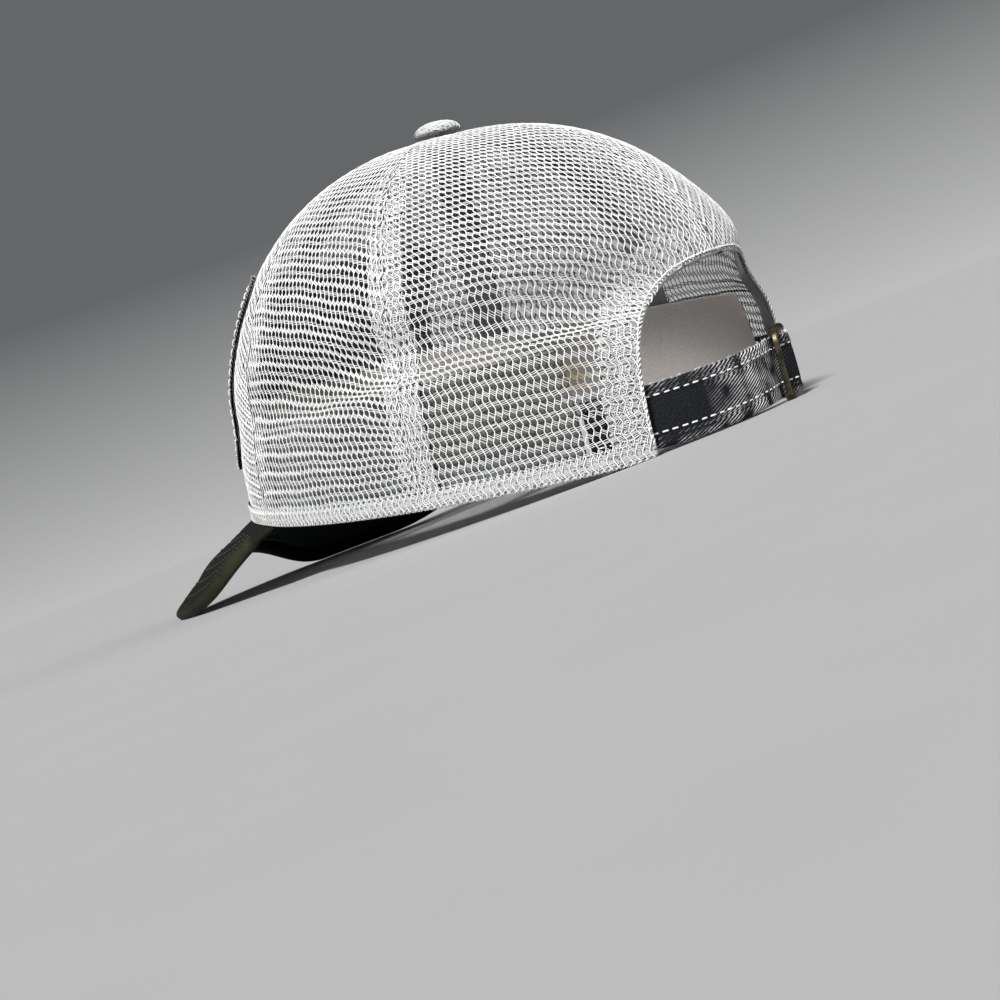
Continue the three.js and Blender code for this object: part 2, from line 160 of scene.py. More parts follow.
def at_rest(spots):
    """Millimetres in the cap's own frame, to metres as the cap stands on the floor."""
    spots = np.asarray(spots, float)
    c, s = math.cos(REST_TILT), math.sin(REST_TILT)
    y = spots[..., 1] * c + spots[..., 2] * s
    z = -spots[..., 1] * s + spots[..., 2] * c
    return (np.stack([spots[..., 0], y, z], axis=-1) + REST_SHIFT) * MM


def crown_out(turn, climb):
    step = 0.01
    low = np.maximum(0, climb - step / 10)
    sideways = crown_point(turn + step, climb) - crown_point(turn - step, climb)
    upwards = crown_point(turn, low + step / 5) - crown_point(turn, low)
    out = np.cross(sideways, upwards)
    return out / np.linalg.norm(out, axis=-1, keepdims=True)


def cloth(turn, height, depth):
    """A depth under the outside of the net, at a turn and a height; in the cap's own frame."""
    climb = climb_at(height)
    depth = np.asarray(depth, float)
    return crown_point(turn, climb) - crown_out(turn, climb) * depth[..., None]


def arch_turn(height, margin):
    share = np.clip(height / (ARCH_HEIGHT + margin), 0, 1)
    across = (ARCH_HALF_WIDTH + margin) * (1 - share**ARCH_SQUARENESS) ** (1 / ARCH_SQUARENESS)
    widest = CROWN_HALF_WIDTH * reach_of(climb_at(height))
    return 180 - np.degrees(np.arcsin(np.clip(across / widest, 0, 1)))


class Value:
    """One output of a shader node; sums and products of it add Math nodes."""

    def __init__(self, finish, socket):
        self.finish = finish
        self.socket = socket

    def math(self, operation, *others):
        return self.finish.node("Math", {"operation": operation}, dict(enumerate((self, *others))))

    def __add__(self, other):
        return self.math("ADD", other)

    def __sub__(self, other):
        return self.math("SUBTRACT", other)

    def __mul__(self, other):
        return self.math("MULTIPLY", other)

    def __abs__(self):
        return self.math("ABSOLUTE")

    __radd__ = __add__
    __rmul__ = __mul__


class Finish:
    """A material, made from its settings that are the same all over."""

    def __init__(self, name, **settings):
        self.material = bpy.data.materials.new(name)
        self.material.use_nodes = True
        self.tree = self.material.node_tree
        self.shader = self.tree.nodes["Principled BSDF"]
        for socket, value in settings.items():
            self.shader.inputs[socket.replace("_", " ")].default_value = value

    def node(self, kind, settings, values, output=0):
        made = self.tree.nodes.new("ShaderNode" + kind)
        for name, value in settings.items():
            if name == "stops":
                ramp = made.color_ramp
                for i, (place, shade) in enumerate(value):
                    stop = ramp.elements[i] if i < 2 else ramp.elements.new(place)
                    stop.position = place
                    stop.color = (shade, shade, shade, 1)
            else:
                setattr(made, name, value)
        for key, value in values.items():
            if isinstance(value, Value):
                self.tree.links.new(value.socket, made.inputs[key])
            else:
                made.inputs[key].default_value = value
        return Value(self, made.outputs[output])

    def place(self):
        return self.node("TexCoord", {}, {}, "Object")

    def along(self):
        return self.node("UVMap", {}, {})

    def outer(self):
        """1 on faces turned away from the middle of the crown, 0 on those turned into it."""
        away = self.node("VectorMath", {"operation": "SUBTRACT"}, {0: self.place(), 1: CROWN_MIDDLE})
        away = self.node("VectorMath", {"operation": "NORMALIZE"}, {0: away})
        normal = self.node("NewGeometry", {}, {}, "Normal")
        facing = self.node("VectorMath", {"operation": "DOT_PRODUCT"}, {0: away, 1: normal}, "Value")
        return self.ramp(facing, (0, 0), (0.35, 1))

    def noise(self, place, size, detail=2.0):
        """Soft cloudy value about 0.5; size in mm."""
        values = {"Vector": place, "Scale": 1 / (size * MM), "Detail": detail}
        return self.node("TexNoise", {}, values)

    def spots(self, place, size):
        values = {"Vector": place, "Scale": 1 / (size * MM)}
        return self.node("TexVoronoi", {"feature": "F1"}, values, "Distance")

    def parts(self, place):
        split = self.node("SeparateXYZ", {}, {"Vector": place})
        outputs = split.socket.node.outputs
        return [Value(self, outputs[i]) for i in range(3)]

    def ramp(self, value, *stops):
        return self.node("ValToRGB", {"stops": stops}, {"Fac": value})

    def mix(self, mask, shade, other):
        tints = {6: (*shade, 1) if isinstance(shade, tuple) else shade,
                 7: (*other, 1) if isinstance(other, tuple) else other}
        return self.node("Mix", {"data_type": "RGBA"}, {0: mask, **tints}, 2)

    def set(self, socket, value):
        self.tree.links.new(value.socket, self.shader.inputs[socket])

    def bump(self, height, distance):
        values = {"Height": height, "Distance": distance * MM, "Strength": 1.0}
        self.set("Normal", self.node("Bump", {}, values))


# Painted shade: yarn faces turned into the crown take this dark grey in place of their own colour.
INSIDE_PAINTED_SHADE = (0.065, 0.065, 0.064)
STAIN = (0.0553, 0.1007, 0.0301)
STAIN_SIZE = 8.0
STAIN_TONE = (0.4, 0.33, 0.19)


def stained(finish, spot, fuzz, tone):
    """A tone with the small brown stain beside the rear arch."""
    off = finish.node("VectorMath", {"operation": "DISTANCE"}, {0: spot, 1: STAIN}, "Value")
    stain = finish.ramp((off + 4 * MM * fuzz) * (1 / (STAIN_SIZE * MM)), (0.45, 1), (0.95, 0))
    return finish.mix(stain, tone, STAIN_TONE)


cord_yarn = Finish("net wale cords", Roughness=0.5)
spot = cord_yarn.place()
fuzz = cord_yarn.noise(spot, 0.35)
grime = cord_yarn.noise(spot, 14, 3)
tone = cord_yarn.mix(cord_yarn.ramp(grime, (0.35, 0), (0.7, 1)), (0.76, 0.77, 0.755), (0.88, 0.885, 0.87))
tone = cord_yarn.mix(cord_yarn.ramp(fuzz, (0.4, 0), (0.62, 1)), (0.66, 0.67, 0.66), tone)
tone = stained(cord_yarn, spot, fuzz, tone)
# Painted shade on the cords' faces turned into the crown.
cord_yarn.set("Base Color", cord_yarn.mix(cord_yarn.outer(), INSIDE_PAINTED_SHADE, tone))
cord_yarn.set("Roughness", 0.42 + 0.3 * fuzz)
cord_yarn.bump(fuzz, 0.12)

rung_yarn = Finish("net fine rungs", Roughness=0.55)
spot = rung_yarn.place()
fuzz = rung_yarn.noise(spot, 0.5)
tone = rung_yarn.mix(fuzz, (0.7, 0.71, 0.7), (0.88, 0.885, 0.87))
tone = stained(rung_yarn, spot, fuzz, tone)
# Painted shade on the rungs' faces turned into the crown.
rung_yarn.set("Base Color", rung_yarn.mix(rung_yarn.outer(), INSIDE_PAINTED_SHADE, tone))
rung_yarn.set("Roughness", 0.45 + 0.25 * fuzz)
rung_yarn.bump(fuzz, 0.06)

WALE_PITCH = 2.17
ROW_PITCH = 2.72
HOLE_SHARE = 0.53
CORD_RADIUS = 0.2
CORD_SWING = 0.62
ROW_DROOP = 0.27
GATHER = 0.7
GATHER_SIZE = 6.5
GATHER_BELOW = 8.5
RUNG_RADIUS = 0.15
RUNG_LEAN = 0.42
LEVEL_RUNG_LEAN = 0.16
RUNGS_PER_BAND = 3
RUNG_SIDES = 3
NET_DEPTH = 0.45
# How unevenly wales, depths and rungs lie
WALE_SPREAD = 0.06
DEPTH_SPREAD = 0.05
RUNG_SPREAD = 0.05
# Slow waver of the rows: size, turns across and up
ROW_WAVER = [(0.2, 0.21, 0.13), (0.14, 0.47, -0.31)]
FIRST_WALE = 0.3
HALF_STEPS = 40
HEM_TOP = 4.2
NET_TOP = 109.9
FLOOR_CLEAR = 0.05


def yarns(name, paths, radius, sides=4):
    """One mesh of yarns with a few sides each, along paths of points in metres."""
    ring = bpy.data.curves.new(name + "_section", "CURVE")
    spline = ring.splines.new("POLY")
    spline.points.add(sides - 1)
    for i, point in enumerate(spline.points):
        angle = 2 * math.pi * i / sides
        point.co = (radius * MM * math.cos(angle), radius * MM * math.sin(angle), 0, 1)
    spline.use_cyclic_u = True
    section = bpy.data.objects.new(name + "_section", ring)
    curve = bpy.data.curves.new(name, "CURVE")
    curve.dimensions = "3D"
    curve.bevel_mode = "OBJECT"
    curve.bevel_object = section
    curve.use_fill_caps = True
    for path in paths:
        spline = curve.splines.new("POLY")
        spline.points.add(len(path) - 1)
        flat = np.ones((len(path), 4))
        flat[:, :3] = path
        spline.points.foreach_set("co", flat.ravel())
        spline.use_smooth = True
    holder = bpy.data.objects.new(name, curve)
    bpy.context.scene.collection.objects.link(section)
    bpy.context.scene.collection.objects.link(holder)
    graph = bpy.context.evaluated_depsgraph_get()
    mesh = bpy.data.meshes.new_from_object(holder.evaluated_get(graph))
    bpy.data.objects.remove(holder)
    bpy.data.curves.remove(curve)
    bpy.data.objects.remove(section)
    bpy.data.curves.remove(ring)
    return mesh


def joined(name, parts):
    """One object from meshes, each with its own finish; what meets the floor is pressed flat."""
    bm = bmesh.new()
    mesh = bpy.data.meshes.new(name)
    for index, (part, finish) in enumerate(parts):
        first = len(bm.faces)
        bm.from_mesh(part)
        bm.faces.ensure_lookup_table()
        for face in bm.faces[first:]:
            face.material_index = index
            face.smooth = True
        mesh.materials.append(finish.material)
        bpy.data.meshes.remove(part)
    for v in bm.verts:
        v.co.z = max(v.co.z, FLOOR_CLEAR * MM)
    bm.to_mesh(mesh)
    bm.free()
    piece = bpy.data.objects.new(name, mesh)
    bpy.context.scene.collection.objects.link(piece)
    return piece


def zigzag(rows, phase):
    """Run of a wale cord up the cloth and its swing, in mm: a corner beside each hole, then a band."""
    level = np.arange(2 * rows)
    side = np.where((level // 2 + phase) % 2, 1, -1)
    return level * ROW_PITCH / 2, np.where(level % 2, 0, side * CORD_SWING)


def uneven(shape, spread):
    return np.array([dice.gauss(0, spread) for i in range(shape[0] * shape[1])]).reshape(shape)


def knitted(placed, inside, run, swing):
    """Cords up placed points, by wale and level, that lie inside, and the rungs between them."""
    count = RUNGS_PER_BAND
    near = inside.copy()
    near[:, 1:] |= inside[:, :-1]
    near[:, :-1] |= inside[:, 1:]
    cords, rungs = [], []
    for wale, keep in zip(placed, near):
        breaks = np.flatnonzero(np.diff(np.concatenate([[0], keep.astype(int), [0]])))
        cords += [wale[a:b] for a, b in zip(breaks[::2], breaks[1::2]) if b - a > 1]
    middle = np.arange(1, len(swing) - 1, 2)
    band = (1 - HOLE_SHARE) * ROW_PITCH
    lean = np.where(swing[middle + 1] > 0, RUNG_LEAN, -LEVEL_RUNG_LEAN)[:, None]
    for k in range(len(placed) - 1):
        held = inside[k:k + 2, middle].all(axis=0)
        share = (np.arange(count) + 0.5) / count - 0.5 + uneven((len(middle), count), RUNG_SPREAD)
        left = run[middle][:, None] + (share + lean) * band
        right = run[middle][:, None] + (share - lean) * band
        ends = [
            np.stack([np.interp(at, run, wale[:, i]) for i in range(3)], axis=-1)
            for at, wale in ((left, placed[k]), (right, placed[k + 1]))
        ]
        rungs += list(np.stack(ends, axis=2)[held].reshape(-1, 2, 3))
    return cords, rungs


def bowed(climb, aside):
    """Climb of a straight row of flat cloth, aside degrees rearwards of the middle of its gore."""
    grown = np.clip((climb - 0.05) / 0.5, 0, 1) * np.clip((1.4 - climb) / 0.35, 0, 1)
    droop = ROW_DROOP * grown / np.cos(climb)
    aside = np.radians(aside)
    return np.arctan(np.tan(climb) * np.cos(aside) - droop * np.sin(aside))


def gathered(turn, climb):
    """The net's rows draw together where it tucks into the crease."""
    height = height_of(climb)
    above = (height - crease_height(turn) + GATHER_BELOW) / GATHER_SIZE
    drawn = GATHER * crease_depth(turn) * above * np.exp(-above**2)
    return climb_at(height - drawn)


def knit_gore(low, high, low_turn, high_turn, bottom, top):
    """Net of one gore between two edges; its wales run along the gore's middle line."""
    middle = (low + high) / 2
    rearwards = math.copysign(1, middle)
    climbs = np.linspace(climb_at(bottom), climb_at(top), 400)
    spine = crown_point(middle, climbs)
    climbed = run_along(spine)
    run, swing = zigzag(int(climbed[-1] / ROW_PITCH), 0)
    levels = np.interp(run, climbed, climbs)
    turns = np.linspace(low, high, 2 * HALF_STEPS + 1)
    row_climbs = bowed(levels[:, None], rearwards * (turns - middle))
    ring = crown_point(turns[None, :] + 0 * row_climbs, row_climbs)
    around = np.cumsum(np.linalg.norm(np.diff(ring, axis=1), axis=2), axis=1)
    around = np.concatenate([np.zeros((len(run), 1)), around], axis=1)
    around -= around[:, HALF_STEPS:HALF_STEPS + 1]
    past_low = turns - low_turn(height_of(row_climbs))
    past_high = turns - high_turn(height_of(row_climbs))
    low_edge = np.array([np.interp(0, past_low[j], around[j]) for j in range(len(run))])
    high_edge = np.array([np.interp(0, past_high[j], around[j]) for j in range(len(run))])
    widest = int(max(abs(low_edge).max(), abs(high_edge).max()) / WALE_PITCH) + 1
    wales = np.arange(-widest, widest + 1)
    across = wales[:, None] * WALE_PITCH + swing[None, :] + uneven((len(wales), len(run)), WALE_SPREAD)
    inside = (across > low_edge) & (across < high_edge)
    across = np.clip(across, low_edge, high_edge)
    at = np.array([np.interp(across[:, j], around[j], turns) for j in range(len(run))]).T
    wave = sum(size * np.sin(aside * across + up * run) for size, aside, up in ROW_WAVER)
    climb = gathered(at, bowed(levels, rearwards * (at - middle)) + wave * np.gradient(levels, run))
    depth = NET_DEPTH + uneven(at.shape, DEPTH_SPREAD)
    placed = at_rest(crown_point(at, climb) - crown_out(at, climb) * depth[..., None])
    return knitted(placed, inside, run, swing)


def knit_strip(place, width, length, phase, spread):
    """Net on a strip, where place(across, along) takes mm and gives metres."""
    run, swing = zigzag(max(2, int(length / ROW_PITCH) + 1), phase)
    wales = np.arange(FIRST_WALE, width / WALE_PITCH)
    across = wales[:, None] * WALE_PITCH + swing[None, :] + uneven((len(wales), len(run)), spread)
    along = run[None, :] + uneven(across.shape, spread)
    placed = place(np.clip(across, 0, width), np.clip(along, 0, length))
    return knitted(placed, np.ones(across.shape, bool), run, swing)


def net_meshes(name, cords, rungs):
    """Meshes of the cords and of the rungs of one net, each with its finish."""
    return [
        (yarns(name + "_cords", cords, CORD_RADIUS), cord_yarn),
        (yarns(name + "_rungs", rungs, RUNG_RADIUS, RUNG_SIDES), rung_yarn),
    ]


def fixed(turn):
    return lambda heights: np.full(heights.shape, float(turn))


def arch_edge(side):
    def edge(heights):
        turns = arch_turn(np.minimum(heights, ARCH_HEIGHT), 0.0)
        return side * np.where(heights < ARCH_HEIGHT, turns, 180.0)
    return edge


SEAM_GAP = 0.12
# Piece, its node, low and high seam
PANELS = [
    ("net_front_left", "front_panel_left", 0, 59.5),
    ("net_side_left", "side_panel_left", 59.5, 103.3),
    ("net_rear_left", "rear_panel_left", 103.3, 180),
    ("net_front_right", "front_panel_right", -59.5, 0),
    ("net_side_right", "side_panel_right", -103.3, -59.5),
    ("net_rear_right", "rear_panel_right", -180, -103.3),
]

for name, node, low, high in PANELS:
    low_edge = arch_edge(-1) if low == -180 else fixed(low + SEAM_GAP)
    high_edge = arch_edge(1) if high == 180 else fixed(high - SEAM_GAP)
    cords, rungs = knit_gore(low, high, low_edge, high_edge, HEM_TOP, NET_TOP)
    piece = joined(name, net_meshes(name, cords, rungs))
    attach(piece, "root")
    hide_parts(node)

# Seam bands.
# Under each seam the two gores' allowances lie folded flat and stitched down: a dense
# pale strip of doubled net, with a second layer of cords over a felted ground.
felted_net = Finish("doubled net", Roughness=0.75, Sheen_Weight=0.2)
spot = felted_net.place()
pits = felted_net.spots(spot, 1.35)
fuzz = felted_net.noise(spot, 0.5, 3)
cloud = felted_net.noise(spot, 9)
pit = felted_net.ramp(pits + 0.25 * fuzz, (0.22, 0), (0.5, 1))
pale = felted_net.mix(cloud, (0.33, 0.34, 0.335), (0.48, 0.49, 0.48))
# Painted shade: the pits of the felted ground are painted dark.
pale_with_pit_shade = felted_net.mix(pit, (0.07, 0.072, 0.072), pale)
# Painted shade: faces turned into the crown get this darker copy of the ground.
inner_painted_shade = felted_net.mix(fuzz, (0.1, 0.102, 0.1), (0.17, 0.172, 0.17))
felted_net.set("Base Color", felted_net.mix(felted_net.outer(), inner_painted_shade, pale_with_pit_shade))
felted_net.set("Roughness", 0.6 + 0.3 * fuzz)
felted_net.bump(pit + 0.35 * fuzz, 0.22)

BAND_OUTSIDE = 1.9
BAND_THICKNESS = 0.6
BAND_WIDTH = 12.0
SEAM_TOP = 109.9
BAND_LAYERS = (1.25, 0.85)
BAND_SPREAD = 0.14
BAND_TAPER = 6
BAND_NARROWEST = 0.15


def sheet(columns, rows, place, uv=None):
    """A grid laid on place(across, up), in metres, with its own UV map."""
    bm = bmesh.new()
    bmesh.ops.create_grid(bm, x_segments=columns, y_segments=rows, size=0.5)
    shares = np.array([(v.co.x + 0.5, v.co.y + 0.5) for v in bm.verts])
    spots = place(shares[:, 0], shares[:, 1])
    layer = bm.loops.layers.uv.new("UVMap")
    at = uv(shares[:, 0], shares[:, 1]) if uv else shares
    for v, spot in zip(bm.verts, spots):
        for loop in v.link_loops:
            loop[layer].uv = at[v.index]
        v.co = spot
    return bm


def meshed(name, bm):
    bmesh.ops.recalc_face_normals(bm, faces=bm.faces[:])
    mesh = bpy.data.meshes.new(name)
    bm.to_mesh(mesh)
    bm.free()
    return mesh


def shell(name, columns, rows, place, thickness, uv=None):
    """A sheet given its thickness inwards."""
    bm = sheet(columns, rows, place, uv)
    bmesh.ops.solidify(bm, geom=bm.faces[:], thickness=thickness * MM)
    return meshed(name, bm)


def beside(turn, heights, distance):
    climbs = climb_at(heights)
    degree = np.linalg.norm(crown_point(turn + 0.5, climbs) - crown_point(turn - 0.5, climbs), axis=-1)
    return turn + distance / degree


# Piece, its node, turn, bottom
SEAMS = [
    ("band_front", "seam_front", 0, HEM_TOP),
    ("band_left_front", "seam_left_front", 59.5, HEM_TOP),
    ("band_left_rear", "seam_left_rear", 103.3, HEM_TOP),
    ("band_right_front", "seam_right_front", -59.5, HEM_TOP),
    ("band_right_rear", "seam_right_rear", -103.3, HEM_TOP),
    ("band_rear", "seam_rear", 180, 63.5),
]

for name, node, turn, bottom in SEAMS:
    band_climbs = np.linspace(climb_at(bottom), climb_at(SEAM_TOP), 300)
    band_line = crown_point(turn, band_climbs)
    band_run = run_along(band_line)

    def band_spot(across, along, depth):
        """A point of the band, from mm beside its middle line and mm up along it."""
        heights = height_of(np.interp(along, band_run, band_climbs))
        width = np.clip(reach_of(climb_at(heights)) * BAND_TAPER, BAND_NARROWEST, 1)
        return at_rest(cloth(beside(turn, heights, across * width), heights, depth))

    def on_band(across, up):
        along = up * band_run[-1]
        wave = 0.12 * np.sin(along * 2.1 + across * 9) * np.sin(along * 0.9 + turn)
        return band_spot((across - 0.5) * BAND_WIDTH, along, BAND_OUTSIDE + wave)

    layers = [(shell(name, 6, 110, on_band, BAND_THICKNESS), felted_net)]
    for layer, depth in enumerate(BAND_LAYERS):
        cords, rungs = knit_strip(
            lambda across, along: band_spot(across - BAND_WIDTH / 2, along, depth + 0 * across),
            BAND_WIDTH, band_run[-1] - 6 * layer, layer, BAND_SPREAD)
        layers += net_meshes(name, cords, rungs)
    piece = joined(name, layers)
    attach(piece, "root")
    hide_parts(node)

# Arch band.
# The edge of the rear arch is the net folded in twice and stitched: a firm felted rim
# with a slightly toothed edge, from one foot over the top to the other.
ARCH_BAND_WIDTH = 9.0
ARCH_BAND_OUTSIDE = 1.5
ARCH_BAND_THICKNESS = 1.3
ARCH_LIFT = 0.9
# Depth of each layer of net, and whether its wales run along the rim
ARCH_NETS = [(1.15, False), (0.75, True)]
# Margin and depth of the cords at the very edge
ARCH_EDGE_CORDS = [(0.45, 0.35), (0.4, 0.9)]
ARCH_CORD_RADIUS = 0.24
ARCH_WANDER = 0.2
LOOP_RADIUS = 0.3
LOOP_POINTS = 5
YARN_CLEAR = 0.3


def pressed(spots):
    """Yarn and cloth that meet the floor lie along it."""
    spots[..., 2] = np.maximum(spots[..., 2], YARN_CLEAR * MM)
    return spots


def arch_spot(along, margin, depth):
    """A point of the rim; along runs over the arch from foot to foot, margin grows outwards."""
    lift = 1 - np.abs(2 * along - 1)
    rise = np.sin(lift * np.pi / 2) ** (2 / ARCH_SQUARENESS)
    height = np.minimum(rise, 0.9999) * ARCH_HEIGHT
    height = height + margin * rise**3
    edge = arch_turn(height, margin)
    return cloth(np.where(along < 0.5, edge, 360 - edge), height, depth)


def on_arch(along, up):
    rolled = ARCH_LIFT * bell(up, 0.1)
    return pressed(at_rest(arch_spot(along, ARCH_BAND_WIDTH * up, ARCH_BAND_OUTSIDE - rolled)))


arch_shares = np.linspace(0, 1, 500)
arch_line = arch_spot(arch_shares, 4.0, 0 * arch_shares)
arch_run = run_along(arch_line)


def arch_net(depth, turned):
    """One layer of net on the rim, its wales across the rim or, turned, along it."""
    def place(across, along):
        if turned:
            across, along = along, across
        share = np.interp(along, arch_run, arch_shares)
        return pressed(at_rest(arch_spot(share, across + 0.15, depth + 0 * across)))
    if turned:
        return knit_strip(place, arch_run[-1], ARCH_BAND_WIDTH, 0, BAND_SPREAD)
    return knit_strip(place, ARCH_BAND_WIDTH, arch_run[-1], 1, BAND_SPREAD)


arch_layers = [(shell("arch_rim", 200, 8, on_arch, ARCH_BAND_THICKNESS), felted_net)]
for depth, turned in ARCH_NETS:
    arch_layers += net_meshes("arch", *arch_net(depth, turned))
edge_cords = []
for margin, depth in ARCH_EDGE_CORDS:
    wander = np.array([dice.gauss(0, ARCH_WANDER) for share in arch_shares])
    cord = arch_spot(arch_shares, margin + np.abs(wander), depth + wander)
    edge_cords.append(pressed(at_rest(cord)))
arch_layers.append((yarns("arch_edge", edge_cords, ARCH_CORD_RADIUS), cord_yarn))
loops = []
for stop in np.arange(2.0, arch_run[-1] - 2.0, WALE_PITCH * 0.8):
    shares = np.linspace(0, 1, LOOP_POINTS)
    along = stop + WALE_PITCH * (shares - 0.5) + dice.gauss(0, ARCH_WANDER)
    share = np.interp(along, arch_run, arch_shares)
    loop = 0.5 - (0.45 + abs(dice.gauss(0, 0.15))) * np.sin(np.pi * shares)
    loops.append(pressed(at_rest(arch_spot(share, loop, 0.1 + 1.4 * shares))))
arch_layers.append((yarns("arch_loops", loops, LOOP_RADIUS), cord_yarn))
arch_piece = joined("arch_rim", arch_layers)
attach(arch_piece, "root")
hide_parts("arch_band")

# Hem.
# The bottom edge is the net folded up over itself, so its wales lie double and their
# loops end in a fine saw-tooth at the fold.
HEM_OUTSIDE = -0.15
HEM_INSIDE = 1.5
HEM_HEIGHT = 4.5
HEM_TOOTH = 0.5
HEM_THICKNESS = 0.3
HEM_NET_DEPTHS = (-0.3, -0.55)
HEM_FOLD_HEIGHT = 0.6
HEM_SPREAD = 0.12
# Where the fold starts and ends on the way from inside to outside
HEM_FOLD = (0.35, 0.65)
foot_turn = float(arch_turn(0.0, 0.0))
hem_turns = np.linspace(-foot_turn, foot_turn, 600)
hem_line = crown_point(hem_turns, np.zeros(600))
hem_run = run_along(hem_line)


def on_hem(across, up):
    """up runs from the inside top, round the fold at the bottom, to the outside top."""
    turn = -foot_turn + 2 * foot_turn * across
    run = np.interp(turn, hem_turns, hem_run)
    tooth = HEM_TOOTH * np.abs(np.sin(np.pi * run / WALE_PITCH))
    start, end = HEM_FOLD
    angle = np.pi * np.clip((up - start) / (end - start), 0, 1)
    middle = (HEM_OUTSIDE + HEM_INSIDE) / 2
    half = (HEM_INSIDE - HEM_OUTSIDE) / 2
    straight = np.where(up < 0.5, (start - up) / start, (up - end) / start)
    height = np.clip(straight, 0, 1) * (HEM_HEIGHT - HEM_FOLD_HEIGHT) + HEM_FOLD_HEIGHT - 0.5 * np.sin(angle)
    depth = middle + half * np.cos(angle)
    spots = cloth(turn, np.maximum(height, 0), depth)
    spots[..., 2] -= tooth * np.sin(angle) ** 2
    return pressed(at_rest(spots))


def hem_spot(along, up, depth):
    turn = np.interp(along, hem_run, hem_turns)
    return pressed(at_rest(cloth(turn, np.maximum(up, 0), depth)))


hem_layers = [(shell("hem", 600, 8, on_hem, HEM_THICKNESS), felted_net)]
for layer, depth in enumerate(HEM_NET_DEPTHS):
    cords, rungs = knit_strip(
        lambda along, up: hem_spot(along + 0.3 + 0.8 * layer, up, depth + 0 * up),
        hem_run[-1] - 1.2, HEM_HEIGHT + 1.2, layer, HEM_SPREAD)
    hem_layers += net_meshes("hem", cords, rungs)
loops = []
for stop in np.arange(1.0, hem_run[-1] - 1.0, WALE_PITCH):
    shares = np.linspace(0, 1, LOOP_POINTS)
    along = stop + WALE_PITCH * (shares - 0.5) * 1.05
    drop = hem_spot(along, 0.35 + 0 * shares, -0.2 + 1.0 * np.sin(np.pi * shares) ** 2)
    drop[:, 2] -= (0.2 + HEM_TOOTH) * np.sin(np.pi * shares) ** 0.7 * MM
    loops.append(pressed(drop))
hem_layers.append((yarns("hem_loops", loops, LOOP_RADIUS), cord_yarn))
hem_piece = joined("hem", hem_layers)
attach(hem_piece, "root")
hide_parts("hem_band")

# Top button.
# A small dome covered in folded net, with its cloth gathered in under the edge.
BUTTON_RADIUS = 7.8
BUTTON_BASE = 110.4
BUTTON_HEIGHT = 4.9
BUTTON_PLEATS = 12
BUTTON_NET = 18.0
BUTTON_SPREAD = 0.1
# Half width and height, from the middle of the base round the edge to the top
BUTTON_PROFILE = [
    (0, 0), (6.6, 0), (7.6, 0.7), (BUTTON_RADIUS, 1.5),
    (7.2, 2.8), (5.6, 3.9), (3.2, 4.6), (0, BUTTON_HEIGHT),
]
bm = bmesh.new()
rim = [bm.verts.new((x, 0, z)) for x, z in BUTTON_PROFILE]
edges = [bm.edges.new((a, b)) for a, b in zip(rim, rim[1:])]
bmesh.ops.spin(
    bm, geom=rim + edges, cent=(0, 0, 0), axis=(0, 0, 1),
    angle=2 * math.pi, steps=48, use_merge=True)
bmesh.ops.remove_doubles(bm, verts=bm.verts[:], dist=0.01)
bmesh.ops.recalc_face_normals(bm, faces=bm.faces[:])
bmesh.ops.subdivide_edges(bm, edges=bm.edges[:], cuts=1, use_grid_fill=True, smooth=0.5)
for v in bm.verts:
    pleat = math.cos(BUTTON_PLEATS * math.atan2(v.co.y, v.co.x))
    out = math.hypot(v.co.x, v.co.y) / BUTTON_RADIUS
    v.co.xy *= 1 - 0.018 * (1 + pleat) * out**3
    v.co.z = max(0.0, min(v.co.z, BUTTON_HEIGHT))
    v.co = Vector(at_rest(np.array([v.co.x, v.co.y, v.co.z + BUTTON_BASE])))
button_mesh = meshed("top_button", bm)
dome = np.array(BUTTON_PROFILE[:1:-1], float)
dome_run = run_along(dome)


def on_button(across, along):
    """A point of the net drawn over the dome, from mm across a flat square of it."""
    aside = across - BUTTON_NET / 2
    ahead = along - BUTTON_NET / 2
    out = np.maximum(np.hypot(aside, ahead), 0.001)
    reach = np.interp(out, dome_run, dome[:, 0]) / out
    rise = np.interp(out, dome_run, dome[:, 1])
    return at_rest(np.stack([aside * reach, ahead * reach, rise + BUTTON_BASE], axis=-1))


cords, rungs = knit_strip(on_button, BUTTON_NET, BUTTON_NET, 0, BUTTON_SPREAD)
button_piece = joined("button", [(button_mesh, felted_net)] + net_meshes("button", cords, rungs))
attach(button_piece, "root")
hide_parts("top_button")

# Sweatband.
# A flat band of brushed cotton, turned over at both edges and sewn in along the hem,
# a little rumpled, with a bluish strip by the hem; its side under the net carries painted shade.
COTTON_LOW = 1.3
COTTON_HIGH = 38.3
COTTON_END = 134.2
COTTON_OUTSIDE = 3.15
COTTON_THICKNESS = 0.75
band_cotton = Finish("brushed cotton", Roughness=0.9, Sheen_Weight=0.3)
rise = band_cotton.parts(band_cotton.along())[1]
spot = band_cotton.place()
nap = band_cotton.noise(spot, 0.7, 3)
cloud = band_cotton.noise(spot, 16, 3)
weave = band_cotton.noise(spot, 0.28, 1)
body = band_cotton.mix(cloud, (0.46, 0.42, 0.4), (0.56, 0.52, 0.49))
body = band_cotton.mix(band_cotton.ramp(nap, (0.35, 0), (0.7, 1)), (0.4, 0.37, 0.35), body)
strip = band_cotton.ramp(rise, (0.0, 1), (0.28, 0))
body = band_cotton.mix(strip, body, (0.36, 0.4, 0.44))
# Painted shade: a darker copy of the cotton and its bluish strip, for the side under the net.
under_net_painted_shade = band_cotton.mix(cloud, (0.06, 0.056, 0.054), (0.12, 0.112, 0.108))
under_net_painted_shade = band_cotton.mix(strip, under_net_painted_shade, (0.14, 0.165, 0.2))
band_cotton.set("Base Color", band_cotton.mix(band_cotton.outer(), body, under_net_painted_shade))
band_cotton.set("Roughness", 0.8 + 0.2 * nap)
band_cotton.bump(nap + 0.6 * weave, 0.25)


